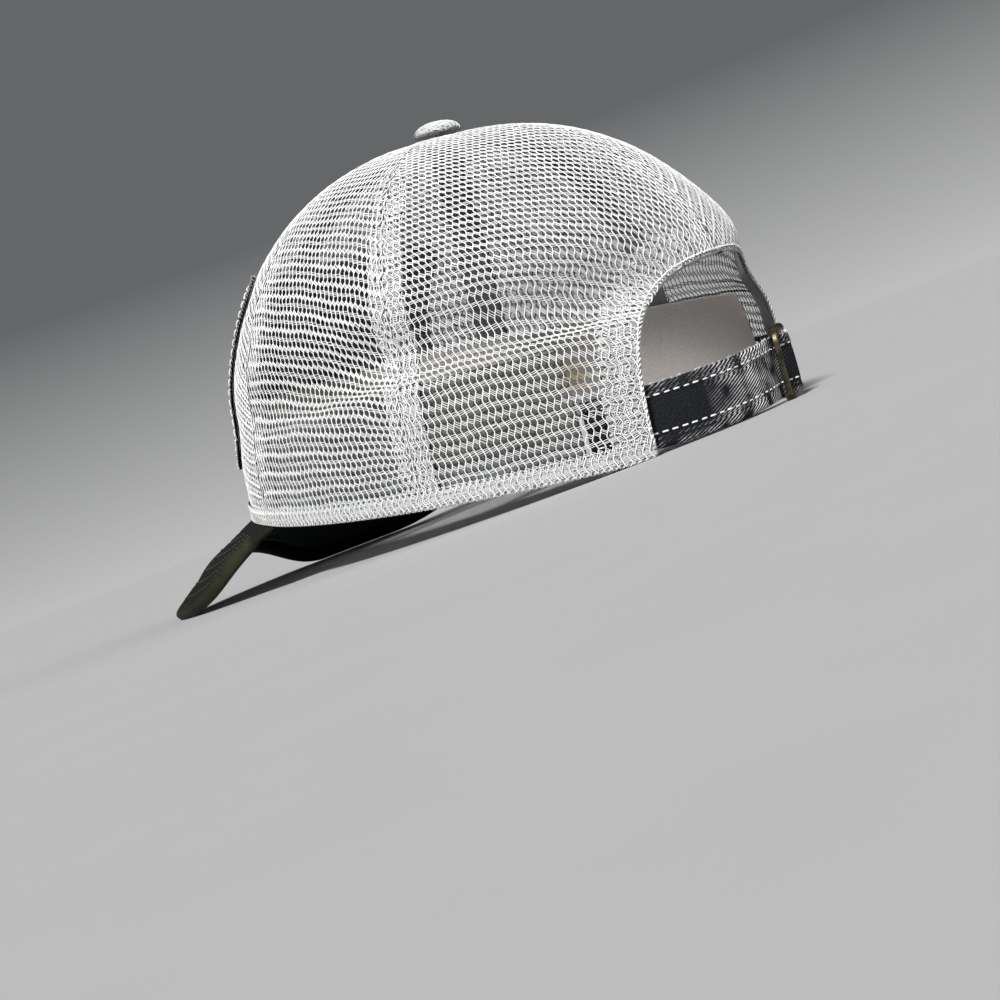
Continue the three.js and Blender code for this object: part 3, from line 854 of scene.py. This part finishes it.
def on_sweatband(across, up):
    turn = COTTON_END * (2 * across - 1)
    height = COTTON_LOW + (COTTON_HIGH - COTTON_LOW) * up
    rumple = 0.16 * np.sin(turn * 0.31 + 2 * up) * np.sin(turn * 0.083 + 1)
    rumple = rumple + 0.1 * np.sin(up * 7 + turn * 0.12)
    fold = 0.25 * bell(up - 0.97, 0.05) + 0.25 * bell(up - 0.03, 0.05) - 0.2 * bell(up - 0.87, 0.03)
    return at_rest(cloth(turn, height, COTTON_OUTSIDE + rumple - fold))


band_mesh = shell("sweatband", 220, 18, on_sweatband, COTTON_THICKNESS)
sweat_piece = joined("cotton_band", [(band_mesh, band_cotton)])
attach(sweat_piece, "root")
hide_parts("sweatband")

# Front patch.
# A bare rectangle of washed black denim with rounded corners, sewn flat on the front by
# two rows of pale thread; its raw edge has frayed.
PATCH_BOTTOM = 18.0
PATCH_TOP = 80.0
PATCH_LOW_HALF = 56.0
PATCH_HIGH_HALF = 50.0
PATCH_CORNER = 9.0
PATCH_OUTSIDE = -1.3
PATCH_THICKNESS = 1.0
PATCH_REVERSE_DEPTH = 1.15
REVERSE_THICKNESS = 0.1
# Length across and up of the patch's flat cloth
PATCH_CLOTH = (110, 66)
PATCH_SEAMS = (3.0, 5.2)
# Length of a stitch, the gap to the next and how far its ends sink into the cloth
PATCH_STITCH = (2.6, 0.9, 0.5)
PATCH_FRAYS = 600
PATCH_FRAY_RADIUS = 0.08
THREAD_RADIUS = 0.28
TWILL_PITCH = 0.9


def denim(name, worn_place, worn_size, edge_wear):
    """Washed black twill: dark weft, pale diagonal lines where it is worn."""
    f = Finish(name, Roughness=0.85, Specular_IOR_Level=0.1)
    uv = f.along()
    along, up, _ = f.parts(uv)
    line = (along * 0.42 - up * 0.9) * (2 * math.pi / (TWILL_PITCH * MM))
    twill = (line + 4 * f.noise(uv, 3.5)).math("SINE")
    grain = f.noise(uv, 0.6, 3)
    cloud = f.noise(uv, 7, 3)
    worn = 0.1 + 0.14 * cloud
    if worn_place:
        away = abs(along - worn_place * MM)
        near = f.ramp(away * (1 / (worn_size * MM)), (0.3, 1), (1.0, 0))
        worn = near * f.ramp(cloud, (0.36, 0), (0.6, 1))
    thread = f.ramp(twill * 0.5 + 0.6 * grain, (0.46, 0), (0.62, 1))
    mask = worn * thread
    rims = f.ramp(edge_wear(f, along, up), (0, 0), (1, 1))
    bare = f.ramp(twill * 0.4 + grain, (0.6, 0), (0.85, 1)) * f.ramp(cloud, (0.38, 0), (0.6, 1))
    mask = mask + rims * bare
    dark = f.mix(f.ramp(grain, (0.35, 0), (0.7, 1)), (0.004, 0.0045, 0.006), (0.016, 0.0175, 0.021))
    f.set("Base Color", f.mix(mask.math("MINIMUM", 1), dark, (0.82, 0.81, 0.82)))
    f.set("Roughness", 0.75 + 0.2 * grain)
    f.bump(twill * 0.15 + grain, 0.14)
    return f


def patch_edge(f, along, up):
    return f.noise(f.place(), 4, 2) * 0.3


patch_denim = denim("patch denim", 0, 0, patch_edge)
topstitch = Finish("pale topstitch thread", Roughness=0.6)
ply = topstitch.noise(topstitch.place(), 0.4)
topstitch.set("Base Color", topstitch.mix(ply, (0.6, 0.59, 0.56), (0.86, 0.86, 0.84)))
topstitch.bump(ply, 0.1)


def patch_edge_turn(height, inset=0.0):
    """Turn of the patch's side edge at a height, or of a line inside it by an inset."""
    low, high = PATCH_BOTTOM + inset, PATCH_TOP - inset
    corner = PATCH_CORNER - 0.5 * inset
    up = (height - PATCH_BOTTOM) / (PATCH_TOP - PATCH_BOTTOM)
    side = PATCH_LOW_HALF + (PATCH_HIGH_HALF - PATCH_LOW_HALF) * up
    into = np.clip(corner - np.minimum(height - low, high - height), 0, corner)
    half = side - inset - corner + np.sqrt(corner**2 - into**2)
    return np.degrees(np.arcsin(half / (CROWN_HALF_WIDTH * reach_of(climb_at(height)))))


def patch_spot(across, up, depth):
    """Rows of the patch lie closer at its top and bottom, where its corners round off."""
    height = PATCH_BOTTOM + (PATCH_TOP - PATCH_BOTTOM) * (1 - np.cos(np.pi * up)) / 2
    return at_rest(cloth(patch_edge_turn(height) * (2 * across - 1), height, PATCH_OUTSIDE + depth))


def on_patch(across, up):
    edges = np.minimum(bell(across - 0.04, 0.02) + bell(across - 0.96, 0.02), 1)
    pucker = 0.12 * np.sin(across * 41) * np.sin(up * 23) + 0.3 * edges
    return patch_spot(across, up, 0.15 + pucker)


def on_patch_reverse(across, up):
    return patch_spot(across, up, PATCH_REVERSE_DEPTH + 0 * across)


def patch_uv(across, up):
    wide, tall = PATCH_CLOTH
    return np.stack([(across - 0.5) * wide * MM, up * tall * MM], axis=-1)


def stitches(path, long, gap, sink):
    """Single stitches along a path of points in mm, each arched a little over the cloth."""
    path = np.asarray(path)
    run = run_along(path)
    made = []
    start = 0.0
    while start + long < run[-1]:
        stops = start + np.array([0, 0.2, 0.5, 0.8, 1.0]) * long
        dips = np.array([-sink, 0, 0.05, 0, -sink])
        spots = np.stack([np.interp(stops, run, path[:, i]) for i in range(3)], axis=-1)
        made.append((spots, dips))
        start += long + gap
    return made


def raised(stitch_list, outwards):
    """Stitches lifted along the cloth's outward direction, as paths in metres."""
    return [at_rest(spots + outwards(spots) * dips[:, None]) for spots, dips in stitch_list]


def from_crown(spots):
    out = spots / np.array([CROWN_HALF_WIDTH, CROWN_HALF_LENGTH, CROWN_HEIGHT]) ** 2
    return out / np.linalg.norm(out, axis=-1, keepdims=True)


def patch_line(inset):
    """Closed line inside the patch's edge, in mm in the cap's own frame."""
    low, high = PATCH_BOTTOM + inset, PATCH_TOP - inset
    heights = low + (high - low) * (1 - np.cos(np.linspace(0, np.pi, 90))) / 2
    edge = patch_edge_turn(heights, inset)
    flat = np.linspace(-1, 1, 60)
    bottom = cloth(edge[0] * flat, np.full(60, heights[0]), PATCH_OUTSIDE)
    top = cloth(-edge[-1] * flat, np.full(60, heights[-1]), PATCH_OUTSIDE)
    right = cloth(edge, heights, PATCH_OUTSIDE)
    left = cloth(-edge[::-1], heights[::-1], PATCH_OUTSIDE)
    return np.concatenate([bottom, right, top, left])


patch_mesh = shell("patch", 90, 52, on_patch, PATCH_THICKNESS, patch_uv)
reverse = Finish("undyed reverse of the denim", Roughness=0.9)
slub = reverse.noise(reverse.place(), 0.6, 3)
reverse.set("Base Color", reverse.mix(slub, (0.16, 0.165, 0.175), (0.34, 0.34, 0.34)))
reverse.bump(slub, 0.12)
reverse_mesh = shell("patch_reverse", 40, 24, on_patch_reverse, REVERSE_THICKNESS)
patch_stitches = []
for inset in PATCH_SEAMS:
    patch_stitches += raised(stitches(patch_line(inset), *PATCH_STITCH), from_crown)
fray = []
edge_line = patch_line(0.2)
for i in range(PATCH_FRAYS):
    at = dice.random() * (len(edge_line) - 1)
    here = edge_line[int(at)] + (at % 1) * (edge_line[int(at) + 1] - edge_line[int(at)])
    middle = edge_line.mean(axis=0)
    out = here - middle
    out /= np.linalg.norm(out)
    side = np.array([dice.gauss(0, 0.5), dice.gauss(0, 0.5), dice.gauss(0, 0.5)])
    long = 0.3 + 0.6 * dice.random()
    lift = from_crown(here) * (-0.5 + 0.4 * dice.random())
    mid = here + lift + (out + 0.4 * side) * long * 0.5
    end = here + lift * 1.5 + (out + side) * long
    fray.append(at_rest(np.array([here + lift, mid, end])))
patch_piece = joined("patch", [
    (patch_mesh, patch_denim),
    (reverse_mesh, reverse),
    (yarns("patch_stitches", patch_stitches, THREAD_RADIUS, 5), topstitch),
    (yarns("patch_fray", fray, PATCH_FRAY_RADIUS, 3), topstitch),
])
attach(patch_piece, "root")
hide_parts("front_patch")

# Peak.
# Stiff board between two layers of black twill; its edge is rolled thick and painted olive,
# partly wear and partly a painted highlight; rows of stitching run along the curve of the edge.
PEAK_CORNER_TURN = 60.0
PEAK_BASE_DEPTH = 0.5
PEAK_HALF_WIDTH = 71.0
PEAK_CORNER_FORWARD = 50.0
PEAK_LENGTH = 103.0
PEAK_ROUNDNESS = 2.7
PEAK_FIRST_SWING = 4.0
PEAK_BULGE = 2.5
PEAK_THICK = 2.4
# Swing, height of the outer edge
PEAK_EDGE = [(0, 1), (22, -23.5), (45, -31), (68, -32.2), (90, -19.5), (112, -32.2)]
# Distance from the edge, depth of the top and of the bottom of the rolled rim
PEAK_RIM = [
    (0, 1.7, 2.9), (0.3, 1.05, 3.55), (1.1, 0.4, 4.2), (3, 0, 4.6), (6, 0, 4.2), (9, 0, PEAK_THICK),
]
RIM_START = 9.0
RIM_SHARE = 0.6
# Share of the way from crown to edge at which the rolled rim starts
ROLL_START = 0.75
ROLL_CURVE = 1.6
edge_height = reading(PEAK_EDGE, 1)


def peak_base(side):
    spots = cloth(PEAK_CORNER_TURN * side, np.zeros_like(side), np.full_like(side, PEAK_BASE_DEPTH))
    spots[..., 2] = -0.3
    return spots


def peak_tip(side):
    swing = 90 + (PEAK_FIRST_SWING - 90) * np.abs(side)
    x = np.sign(side) * PEAK_HALF_WIDTH * np.cos(np.radians(swing)) ** (2 / PEAK_ROUNDNESS)
    y = -PEAK_CORNER_FORWARD - PEAK_LENGTH * np.sin(np.radians(swing)) ** (2 / PEAK_ROUNDNESS)
    return np.stack([x, y, edge_height(swing)], axis=-1)


def peak_point(side, share):
    base, tip = peak_base(side), peak_tip(side)
    long = np.linalg.norm(tip - base, axis=-1)
    lift = 4 * share * (1 - share) * PEAK_BULGE * np.minimum(1, long / PEAK_HALF_WIDTH)
    spots = base + (tip - base) * share[..., None]
    spots[..., 2] += lift
    return spots


def under_peak(side, share, depth):
    """A depth under the top of the peak, from side to side and from crown to edge."""
    step = 0.004
    sideways = peak_point(side + step, share) - peak_point(side - step, share)
    inwards = peak_point(side, share - step) - peak_point(side, share + step)
    out = np.cross(sideways, inwards)
    out /= np.linalg.norm(out, axis=-1, keepdims=True)
    return peak_point(side, share) - out * np.asarray(depth)[..., None]


def peak_long(side):
    return np.linalg.norm(peak_tip(side) - peak_base(side), axis=-1)


COVER_TWILL_PITCH = 0.8
cover = Finish("black peak twill", Roughness=0.8, Specular_IOR_Level=0.12)
cover_run, from_edge, _ = cover.parts(cover.along())
spot = cover.place()
weave = cover.noise(spot, 0.45, 2)
cloud = cover.noise(spot, 12, 3)
line = (cover_run + from_edge) * (2 * math.pi / (COVER_TWILL_PITCH * MM))
twill = (line + 3 * cloud).math("SINE")
# Olive band along the rolled edge, uneven by cloud: partly wear, partly a painted highlight.
rim = cover.ramp(from_edge * (1 / (RIM_START * MM)), (0, 1), (0.14, 0.45), (0.45, 0))
worn = rim * cover.ramp(cloud + 0.4 * weave, (0.35, 0), (0.85, 1))
black = cover.mix(cover.ramp(weave, (0.35, 0), (0.7, 1)), (0.005, 0.0055, 0.004), (0.012, 0.0135, 0.01))
cover.set("Base Color", cover.mix(worn, black, (0.03, 0.033, 0.016)))
cover.set("Roughness", 0.6 + 0.3 * weave)
cover.bump(twill * 0.08 + weave, 0.13)

STITCH_ROWS = [8.5, 15.5, 22.5, 29.5, 36.5, 43.5]
# Depth of a row's stitches, how far their ends sink, and its least distance from the edge
PEAK_SEAM_LAYERS = [(0.05, 0.35, 0), (2.75, -0.35, 10)]
PEAK_STITCH = (2.4, 0.9)
PEAK_SEAM_REACH = 0.93
PEAK_SEAM_FROM_CROWN = 6
GROOVE_DEPTH = 0.28
GROOVE_SIZE = 0.7
SEAM_RADIUS = 0.24
rim_top = reading(PEAK_RIM, 1)
rim_bottom = reading(PEAK_RIM, 2)


def peak_from_edge(out, long):
    """Distance from the edge: out runs from 0 at the crown to 1 at the edge."""
    start = np.minimum(RIM_START, RIM_SHARE * long)
    flat = long + (start - long) * np.clip(out / ROLL_START, 0, 1)
    rolled = start * (1 - np.clip((out - ROLL_START) / (1 - ROLL_START), 0, 1)) ** ROLL_CURVE
    return np.where(out < ROLL_START, flat, rolled), start


def on_peak(across, around):
    """around runs over the top from crown to edge, round the rolled rim and back under."""
    side = 2 * across - 1
    long = peak_long(side)
    out = 1 - np.abs(2 * around - 1)
    from_rim, start = peak_from_edge(out, long)
    rolled = from_rim * RIM_START / start
    groove = sum(GROOVE_DEPTH * bell(from_rim - row, GROOVE_SIZE) for row in STITCH_ROWS)
    groove = np.where(out < ROLL_START - 0.01, groove, 0)
    over = around < 0.5
    top = np.where(rolled < RIM_START, rim_top(rolled), 0) + groove
    bottom = np.where(rolled < RIM_START, rim_bottom(rolled), PEAK_THICK) - 0.4 * groove
    depth = np.where(over, top, bottom)
    return pressed(at_rest(under_peak(side, 1 - from_rim / long, depth)))


def peak_uv(across, around):
    side = 2 * across - 1
    long = peak_long(side)
    from_rim, _ = peak_from_edge(1 - np.abs(2 * around - 1), long)
    return np.stack([side * 0.12, from_rim * MM], axis=-1)


bm = sheet(130, 120, on_peak, peak_uv)
bmesh.ops.holes_fill(bm, edges=bm.edges[:], sides=0)
bmesh.ops.triangulate(bm, faces=[face for face in bm.faces if len(face.verts) > 4])
peak_mesh = meshed("peak_cover", bm)

peak_thread = Finish("black peak stitching", Roughness=0.55)
ply = peak_thread.noise(peak_thread.place(), 0.5)
peak_thread.set("Base Color", peak_thread.mix(ply, (0.02, 0.021, 0.017), (0.05, 0.052, 0.042)))
peak_thread.bump(ply, 0.1)


def peak_out(spots):
    return np.broadcast_to(np.array([0.0, 0.1, 0.99]), spots.shape)


peak_seams = []
for row in STITCH_ROWS[:-1]:
    side = PEAK_SEAM_REACH * np.linspace(-1, 1, 240)
    side = side[peak_long(side) > row + PEAK_SEAM_FROM_CROWN]
    for depth, sink, nearest in PEAK_SEAM_LAYERS:
        if row > nearest:
            line = under_peak(side, 1 - row / peak_long(side), np.full_like(side, depth))
            peak_seams += raised(stitches(line, *PEAK_STITCH, sink), peak_out)
peak_piece = joined("peak_cover", [
    (peak_mesh, cover),
    (yarns("peak_seams", peak_seams, SEAM_RADIUS), peak_thread),
])
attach(peak_piece, "root")
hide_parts("peak")

# Peak lining.
# Dark slate cotton under the peak, held inside the rolled rim by one row of stitches,
# with a stray white end of thread.
lining = Finish("slate lining", Roughness=0.88, Specular_IOR_Level=0.25)
spot = lining.place()
weave = lining.noise(spot, 0.5, 3)
cloud = lining.noise(spot, 15, 2)
slate = lining.mix(cloud, (0.014, 0.022, 0.023), (0.026, 0.037, 0.037))
lining.set("Base Color", lining.mix(lining.ramp(weave, (0.4, 0), (0.75, 1)), slate, (0.04, 0.052, 0.052)))
lining.set("Roughness", 0.75 + 0.2 * weave)
lining.bump(weave, 0.18)
LINING_REACH = 0.9
LINING_DEPTH = 3.55
LINING_THICKNESS = 0.65
# How far the lining stays from the edge and from the crown, and its stitches from the edge
LINING_FROM_EDGE = 9.8
LINING_FROM_CROWN = 2.5
LINING_SEAM = 12.6
LINING_SEAM_REACH = 0.86
LINING_STITCH = (2.2, 0.9, -0.3)
LINING_SEAM_RADIUS = 0.2
STRAY_RADIUS = 0.22


def on_lining(across, up):
    side = LINING_REACH * (2 * across - 1)
    long = peak_long(side)
    near, far = 1 - LINING_FROM_EDGE / long, LINING_FROM_CROWN / long
    share = near + (far - near) * up
    wave = 0.1 * np.sin(across * 37) * np.sin(up * 11)
    return at_rest(under_peak(side, share, LINING_DEPTH + wave - 0.2 * bell(up - 0.04, 0.03)))


lining_mesh = shell("lining", 80, 30, on_lining, -LINING_THICKNESS)
side = LINING_SEAM_REACH * np.linspace(-1, 1, 200)
line = under_peak(side, 1 - LINING_SEAM / peak_long(side), np.full_like(side, LINING_DEPTH + 0.05))
lining_seams = raised(stitches(line, *LINING_STITCH), peak_out)
stray = under_peak(np.full(3, 0.8), np.array([0.5, 0.46, 0.42]), np.array([3.7, 4.6, 4.4]))
stray[:, 0] += np.array([0, 0.6, -0.4])
lining_piece = joined("lining", [
    (lining_mesh, lining),
    (yarns("lining_seams", lining_seams, LINING_SEAM_RADIUS), peak_thread),
    (yarns("lining_stray", [at_rest(stray)], STRAY_RADIUS), topstitch),
])
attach(lining_piece, "root")
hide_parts("peak_underside")

# Strap.
# Two plies of washed black denim, turned in and topstitched along both edges; it
# passes through the slide and is tucked in behind both feet of the arch.
STRAP_THICKNESS = 1.36
STRAP_HALF = 9.0
STRAP_SEAM = 5.6
STRAP_STITCH = (2.5, 0.75, 0.5)
# Distance of the turned edge from the middle line, its width and how far it rolls in
STRAP_EDGE = (8.2, 0.8, 0.7)
STRAP_THREAD_RADIUS = 0.3
STRAP_FRAYS = 260
STRAP_FRAY_RADIUS = 0.07
# Middle of the strap's worn stretch and half its length
STRAP_WORN = (62, 24)
# Turn, height of its middle, depth of its outside
STRAP_RUN = [
    (135.2, 12, 3.3), (150, 12.1, 3.3), (168, 13, 2.2), (186, 14, 3), (191.9, 14, 3.3),
    (197, 14, -1.2), (199, 14, -1.2), (204.1, 14, 3.3), (209, 13.6, 3.4), (224, 12, 3.4),
]
strap_middle = reading(STRAP_RUN, 1)
strap_depth = reading(STRAP_RUN, 2)
strap_turns = np.linspace(STRAP_RUN[0][0], STRAP_RUN[-1][0], 500)
strap_line = cloth(strap_turns, strap_middle(strap_turns), strap_depth(strap_turns))
strap_length = run_along(strap_line)


def strap_edges(f, along, up):
    share = up * (1 / (STRAP_HALF * MM))
    low = f.ramp(share + 0.5, (0.4, 1), (0.6, 0.4))
    return (abs(share) - 0.74) * 4.2 * low


strap_denim = denim("strap denim", *STRAP_WORN, strap_edges)


def strap_spot(along, up, depth):
    """along and up in mm from the left end and from the middle line."""
    turn = np.interp(along, strap_length, strap_turns)
    return cloth(turn, strap_middle(turn) + up, strap_depth(turn) + depth)


def on_strap(across, up):
    along = across * strap_length[-1]
    up_mm = (2 * up - 1) * STRAP_HALF
    aside = np.abs(up_mm)
    seam = 0.22 * bell(aside - STRAP_SEAM, 0.5) - 0.12 * bell(aside - 7.2, 1.0)
    start, width, deep = STRAP_EDGE
    roll = deep * np.clip((aside - start) / width, 0, 1) ** 2
    ripple = 0.06 * np.sin(along * 0.9 + up_mm * 0.2)
    return at_rest(strap_spot(along, up_mm, seam + roll + ripple + 0.05))


def strap_uv(across, up):
    return np.stack([across * strap_length[-1] * MM, (2 * up - 1) * STRAP_HALF * MM], axis=-1)


strap_mesh = shell("strap", 220, 28, on_strap, STRAP_THICKNESS, strap_uv)
strap_stitches = []
for height in (-STRAP_SEAM, STRAP_SEAM):
    along = np.linspace(2, strap_length[-1] - 2, 400)
    line = strap_spot(along, np.full_like(along, height), np.full_like(along, 0.02))
    strap_stitches += raised(stitches(line, *STRAP_STITCH), from_crown)
strap_fray = []
for i in range(STRAP_FRAYS):
    along = dice.random() * strap_length[-1]
    edge = dice.choice((-1, 1)) * (STRAP_HALF - 0.2)
    heights = np.array([edge, edge * 1.03, edge * (1.04 + 0.05 * dice.random())])
    slip = np.array([0, 0.3, dice.gauss(0.6, 0.5)])
    depths = np.array([0.5, 0.3, dice.gauss(0.4, 0.3)])
    strap_fray.append(at_rest(strap_spot(along + slip, heights, depths)))
strap_piece = joined("denim_strap", [
    (strap_mesh, strap_denim),
    (yarns("strap_stitches", strap_stitches, STRAP_THREAD_RADIUS, 6), topstitch),
    (yarns("strap_fray", strap_fray, STRAP_FRAY_RADIUS, 3), topstitch),
])
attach(strap_piece, "root")
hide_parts("strap")

# Slide buckle.
# One cast brass frame with a centre bar, darkened all over and rubbed bright where the
# strap and fingers touch it.
SLIDE_TURN = 198.0
SLIDE_WIDTH = 22.0
SLIDE_HEIGHT = 22.4
SLIDE_BAR = 1.9
SLIDE_CENTRE_BAR = 2.6
SLIDE_THICKNESS = 1.8
SLIDE_DEPTH = 2.1
SLIDE_CORNER = 4.0
SLIDE_BEVEL = 0.45
SLIDE_SLOT_CORNER = 1.0
SLIDE_END_RADIUS = 1.7
# How far the end bars stay inside the frame's outline, up and across
SLIDE_END_INSET = (1.2, 1.6)
SLIDE_END_BEND = 0.9
CORNER_STEPS = 8

brass = Finish("antique brass", Metallic=1.0, Roughness=0.4)
spot = brass.place()
patina = brass.noise(spot, 3.0, 4)
fine = brass.noise(spot, 0.5, 2)
edge = brass.node("NewGeometry", {}, {}, "Pointiness")
rub = brass.ramp(edge + 0.03 * patina, (0.545, 0), (0.6, 1))
old = brass.mix(brass.ramp(patina, (0.35, 0), (0.7, 1)), (0.03, 0.028, 0.021), (0.1, 0.085, 0.055))
brass.set("Base Color", brass.mix(rub, old, (0.42, 0.36, 0.22)))
brass.set("Roughness", 0.3 + 0.35 * fine)
brass.bump(fine + patina, 0.08)


def rounded_rectangle(curve, width, height, corner, across):
    spline = curve.splines.new("POLY")
    spots = []
    for quarter in range(4):
        x = (width / 2 - corner) * (1 if quarter in (0, 3) else -1)
        y = (height / 2 - corner) * (1 if quarter in (0, 1) else -1)
        for step in range(CORNER_STEPS + 1):
            angle = (quarter + step / CORNER_STEPS) * math.pi / 2
            spots.append((x + corner * math.cos(angle) + across, y + corner * math.sin(angle), 0, 1))
    spline.points.add(len(spots) - 1)
    for point, spot in zip(spline.points, spots):
        point.co = spot
    spline.use_cyclic_u = True


outline = bpy.data.curves.new("slide", "CURVE")
outline.dimensions = "2D"
outline.fill_mode = "BOTH"
outline.bevel_depth = SLIDE_BEVEL
outline.bevel_resolution = 3
outline.offset = -SLIDE_BEVEL
outline.extrude = SLIDE_THICKNESS / 2 - SLIDE_BEVEL
rounded_rectangle(outline, SLIDE_WIDTH, SLIDE_HEIGHT, SLIDE_CORNER, 0)
slot_width = (SLIDE_WIDTH - 2 * SLIDE_BAR - SLIDE_CENTRE_BAR) / 2
for side in (-1, 1):
    middle = side * (SLIDE_CENTRE_BAR + slot_width) / 2
    rounded_rectangle(outline, slot_width, SLIDE_HEIGHT - 2 * SLIDE_BAR, SLIDE_SLOT_CORNER, middle)
holder = bpy.data.objects.new("slide", outline)
bpy.context.scene.collection.objects.link(holder)
graph = bpy.context.evaluated_depsgraph_get()
slide_mesh = bpy.data.meshes.new_from_object(holder.evaluated_get(graph))
bpy.data.objects.remove(holder)

slide_height = float(strap_middle(SLIDE_TURN))
seat = cloth(SLIDE_TURN, slide_height, SLIDE_DEPTH)
side_on = cloth(SLIDE_TURN + 1, slide_height, SLIDE_DEPTH) - seat
rise_on = cloth(SLIDE_TURN, slide_height + 1, SLIDE_DEPTH) - seat
side_on /= np.linalg.norm(side_on)
face_on = np.cross(side_on, rise_on)
face_on /= np.linalg.norm(face_on)
up_on = np.cross(face_on, side_on)
bm = bmesh.new()
bm.from_mesh(slide_mesh)
bmesh.ops.remove_doubles(bm, verts=bm.verts[:], dist=0.005)
bmesh.ops.recalc_face_normals(bm, faces=bm.faces[:])
for v in bm.verts:
    v.co = Vector(at_rest(seat + side_on * v.co.x + up_on * v.co.y + face_on * v.co.z))
bm.to_mesh(slide_mesh)
bm.free()
slide_ends = []
stops = np.linspace(-1, 1, 25)
for end in (-1, 1):
    middle = seat + end * (SLIDE_HEIGHT / 2 - SLIDE_END_INSET[0]) * up_on
    bar = middle + np.outer(stops * (SLIDE_WIDTH / 2 - SLIDE_END_INSET[1]), side_on)
    slide_ends.append(at_rest(bar - np.outer(SLIDE_END_BEND * (1 - stops**2), face_on)))
slide_piece = joined("brass_slide", [
    (slide_mesh, brass),
    (yarns("slide_ends", slide_ends, SLIDE_END_RADIUS, 14), brass),
])
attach(slide_piece, "root")
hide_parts("buckle")

# Floor.
# A plain pale surface, wide enough to fill the view behind the cap.
floor_finish = Finish("pale floor", Roughness=0.9)
mottle = floor_finish.noise(floor_finish.place(), 30, 2)
floor_finish.set("Base Color", floor_finish.mix(mottle, (0.35, 0.35, 0.35), (0.37, 0.37, 0.37)))
bm = bmesh.new()
bmesh.ops.create_grid(bm, x_segments=1, y_segments=1, size=6)
floor_mesh = bpy.data.meshes.new("floor")
bm.to_mesh(floor_mesh)
bm.free()
floor_mesh.materials.append(floor_finish.material)
floor = bpy.data.objects.new("floor", floor_mesh)
bpy.context.scene.collection.objects.link(floor)

# Light.
# One soft light over the camera's left shoulder, a weak one from the right, and a pale
# room that fills the shadows a little; behind the floor it fades to a darker grey.
ROOM_FILL = (0.11, 0.112, 0.116, 1)
ROOM_LOW = (0.51, 0.512, 0.515, 1)
ROOM_HIGH = (0.13, 0.133, 0.136, 1)
ROOM_FADE = math.sin(math.radians(9))
room = bpy.data.worlds.new("room")
room.use_nodes = True
nodes, links = room.node_tree.nodes, room.node_tree.links
sky = nodes.new("ShaderNodeTexCoord")
split = nodes.new("ShaderNodeSeparateXYZ")
rise = nodes.new("ShaderNodeMapRange")
rise.inputs["From Max"].default_value = ROOM_FADE
backdrop = nodes.new("ShaderNodeMix")
seen = nodes.new("ShaderNodeMix")
paths = nodes.new("ShaderNodeLightPath")
backdrop.data_type = seen.data_type = "RGBA"
backdrop.inputs[6].default_value = ROOM_LOW
backdrop.inputs[7].default_value = ROOM_HIGH
seen.inputs[6].default_value = ROOM_FILL
links.new(sky.outputs["Generated"], split.inputs[0])
links.new(split.outputs["Z"], rise.inputs["Value"])
links.new(rise.outputs[0], backdrop.inputs[0])
links.new(backdrop.outputs[2], seen.inputs[7])
links.new(paths.outputs["Is Camera Ray"], seen.inputs[0])
links.new(seen.outputs[2], nodes["Background"].inputs["Color"])
bpy.context.scene.world = room
# Turn and rise of each light, its strength and its softness in degrees
SOFT_LIGHTS = [(112, 40, 5.6, 10), (200, 30, 0.8, 45)]
for number, (turn, rise, strength, softness) in enumerate(SOFT_LIGHTS):
    lamp = bpy.data.lights.new(f"soft_{number}", "SUN")
    lamp.energy = strength
    lamp.angle = math.radians(softness)
    turn, rise = math.radians(turn), math.radians(rise)
    towards = Vector((math.sin(turn) * math.cos(rise), -math.cos(turn) * math.cos(rise), math.sin(rise)))
    holder = bpy.data.objects.new(f"soft_{number}", lamp)
    holder.rotation_euler = towards.to_track_quat("Z", "Y").to_euler()
    bpy.context.scene.collection.objects.link(holder)

# Camera.
# It stands at the rear left, as far off and as far round as in the photograph, but raised
# to just above the floor, and leans as much.
CAMERA_TURN = math.radians(129.79)
CAMERA_RISE = math.radians(2.0)
CAMERA_ROLL = math.radians(-20.8)
CAMERA_DISTANCE = 0.578
CAMERA_LENS = 60.1
target = Vector((0.0007, 0.0129, 0.0011))
back = Vector((
    math.sin(CAMERA_TURN) * math.cos(CAMERA_RISE),
    -math.cos(CAMERA_TURN) * math.cos(CAMERA_RISE),
    math.sin(CAMERA_RISE),
))
lens = bpy.data.cameras.new("camera")
lens.lens = CAMERA_LENS
lens.sensor_width = 36
lens.clip_start = 0.01
camera = bpy.data.objects.new("camera", lens)
bpy.context.scene.collection.objects.link(camera)
level = back.to_track_quat("Z", "Y")
camera.rotation_mode = "QUATERNION"
camera.rotation_quaternion = level @ Matrix.Rotation(CAMERA_ROLL, 4, "Z").to_quaternion()
camera.location = target + back * CAMERA_DISTANCE
bpy.context.scene.camera = camera
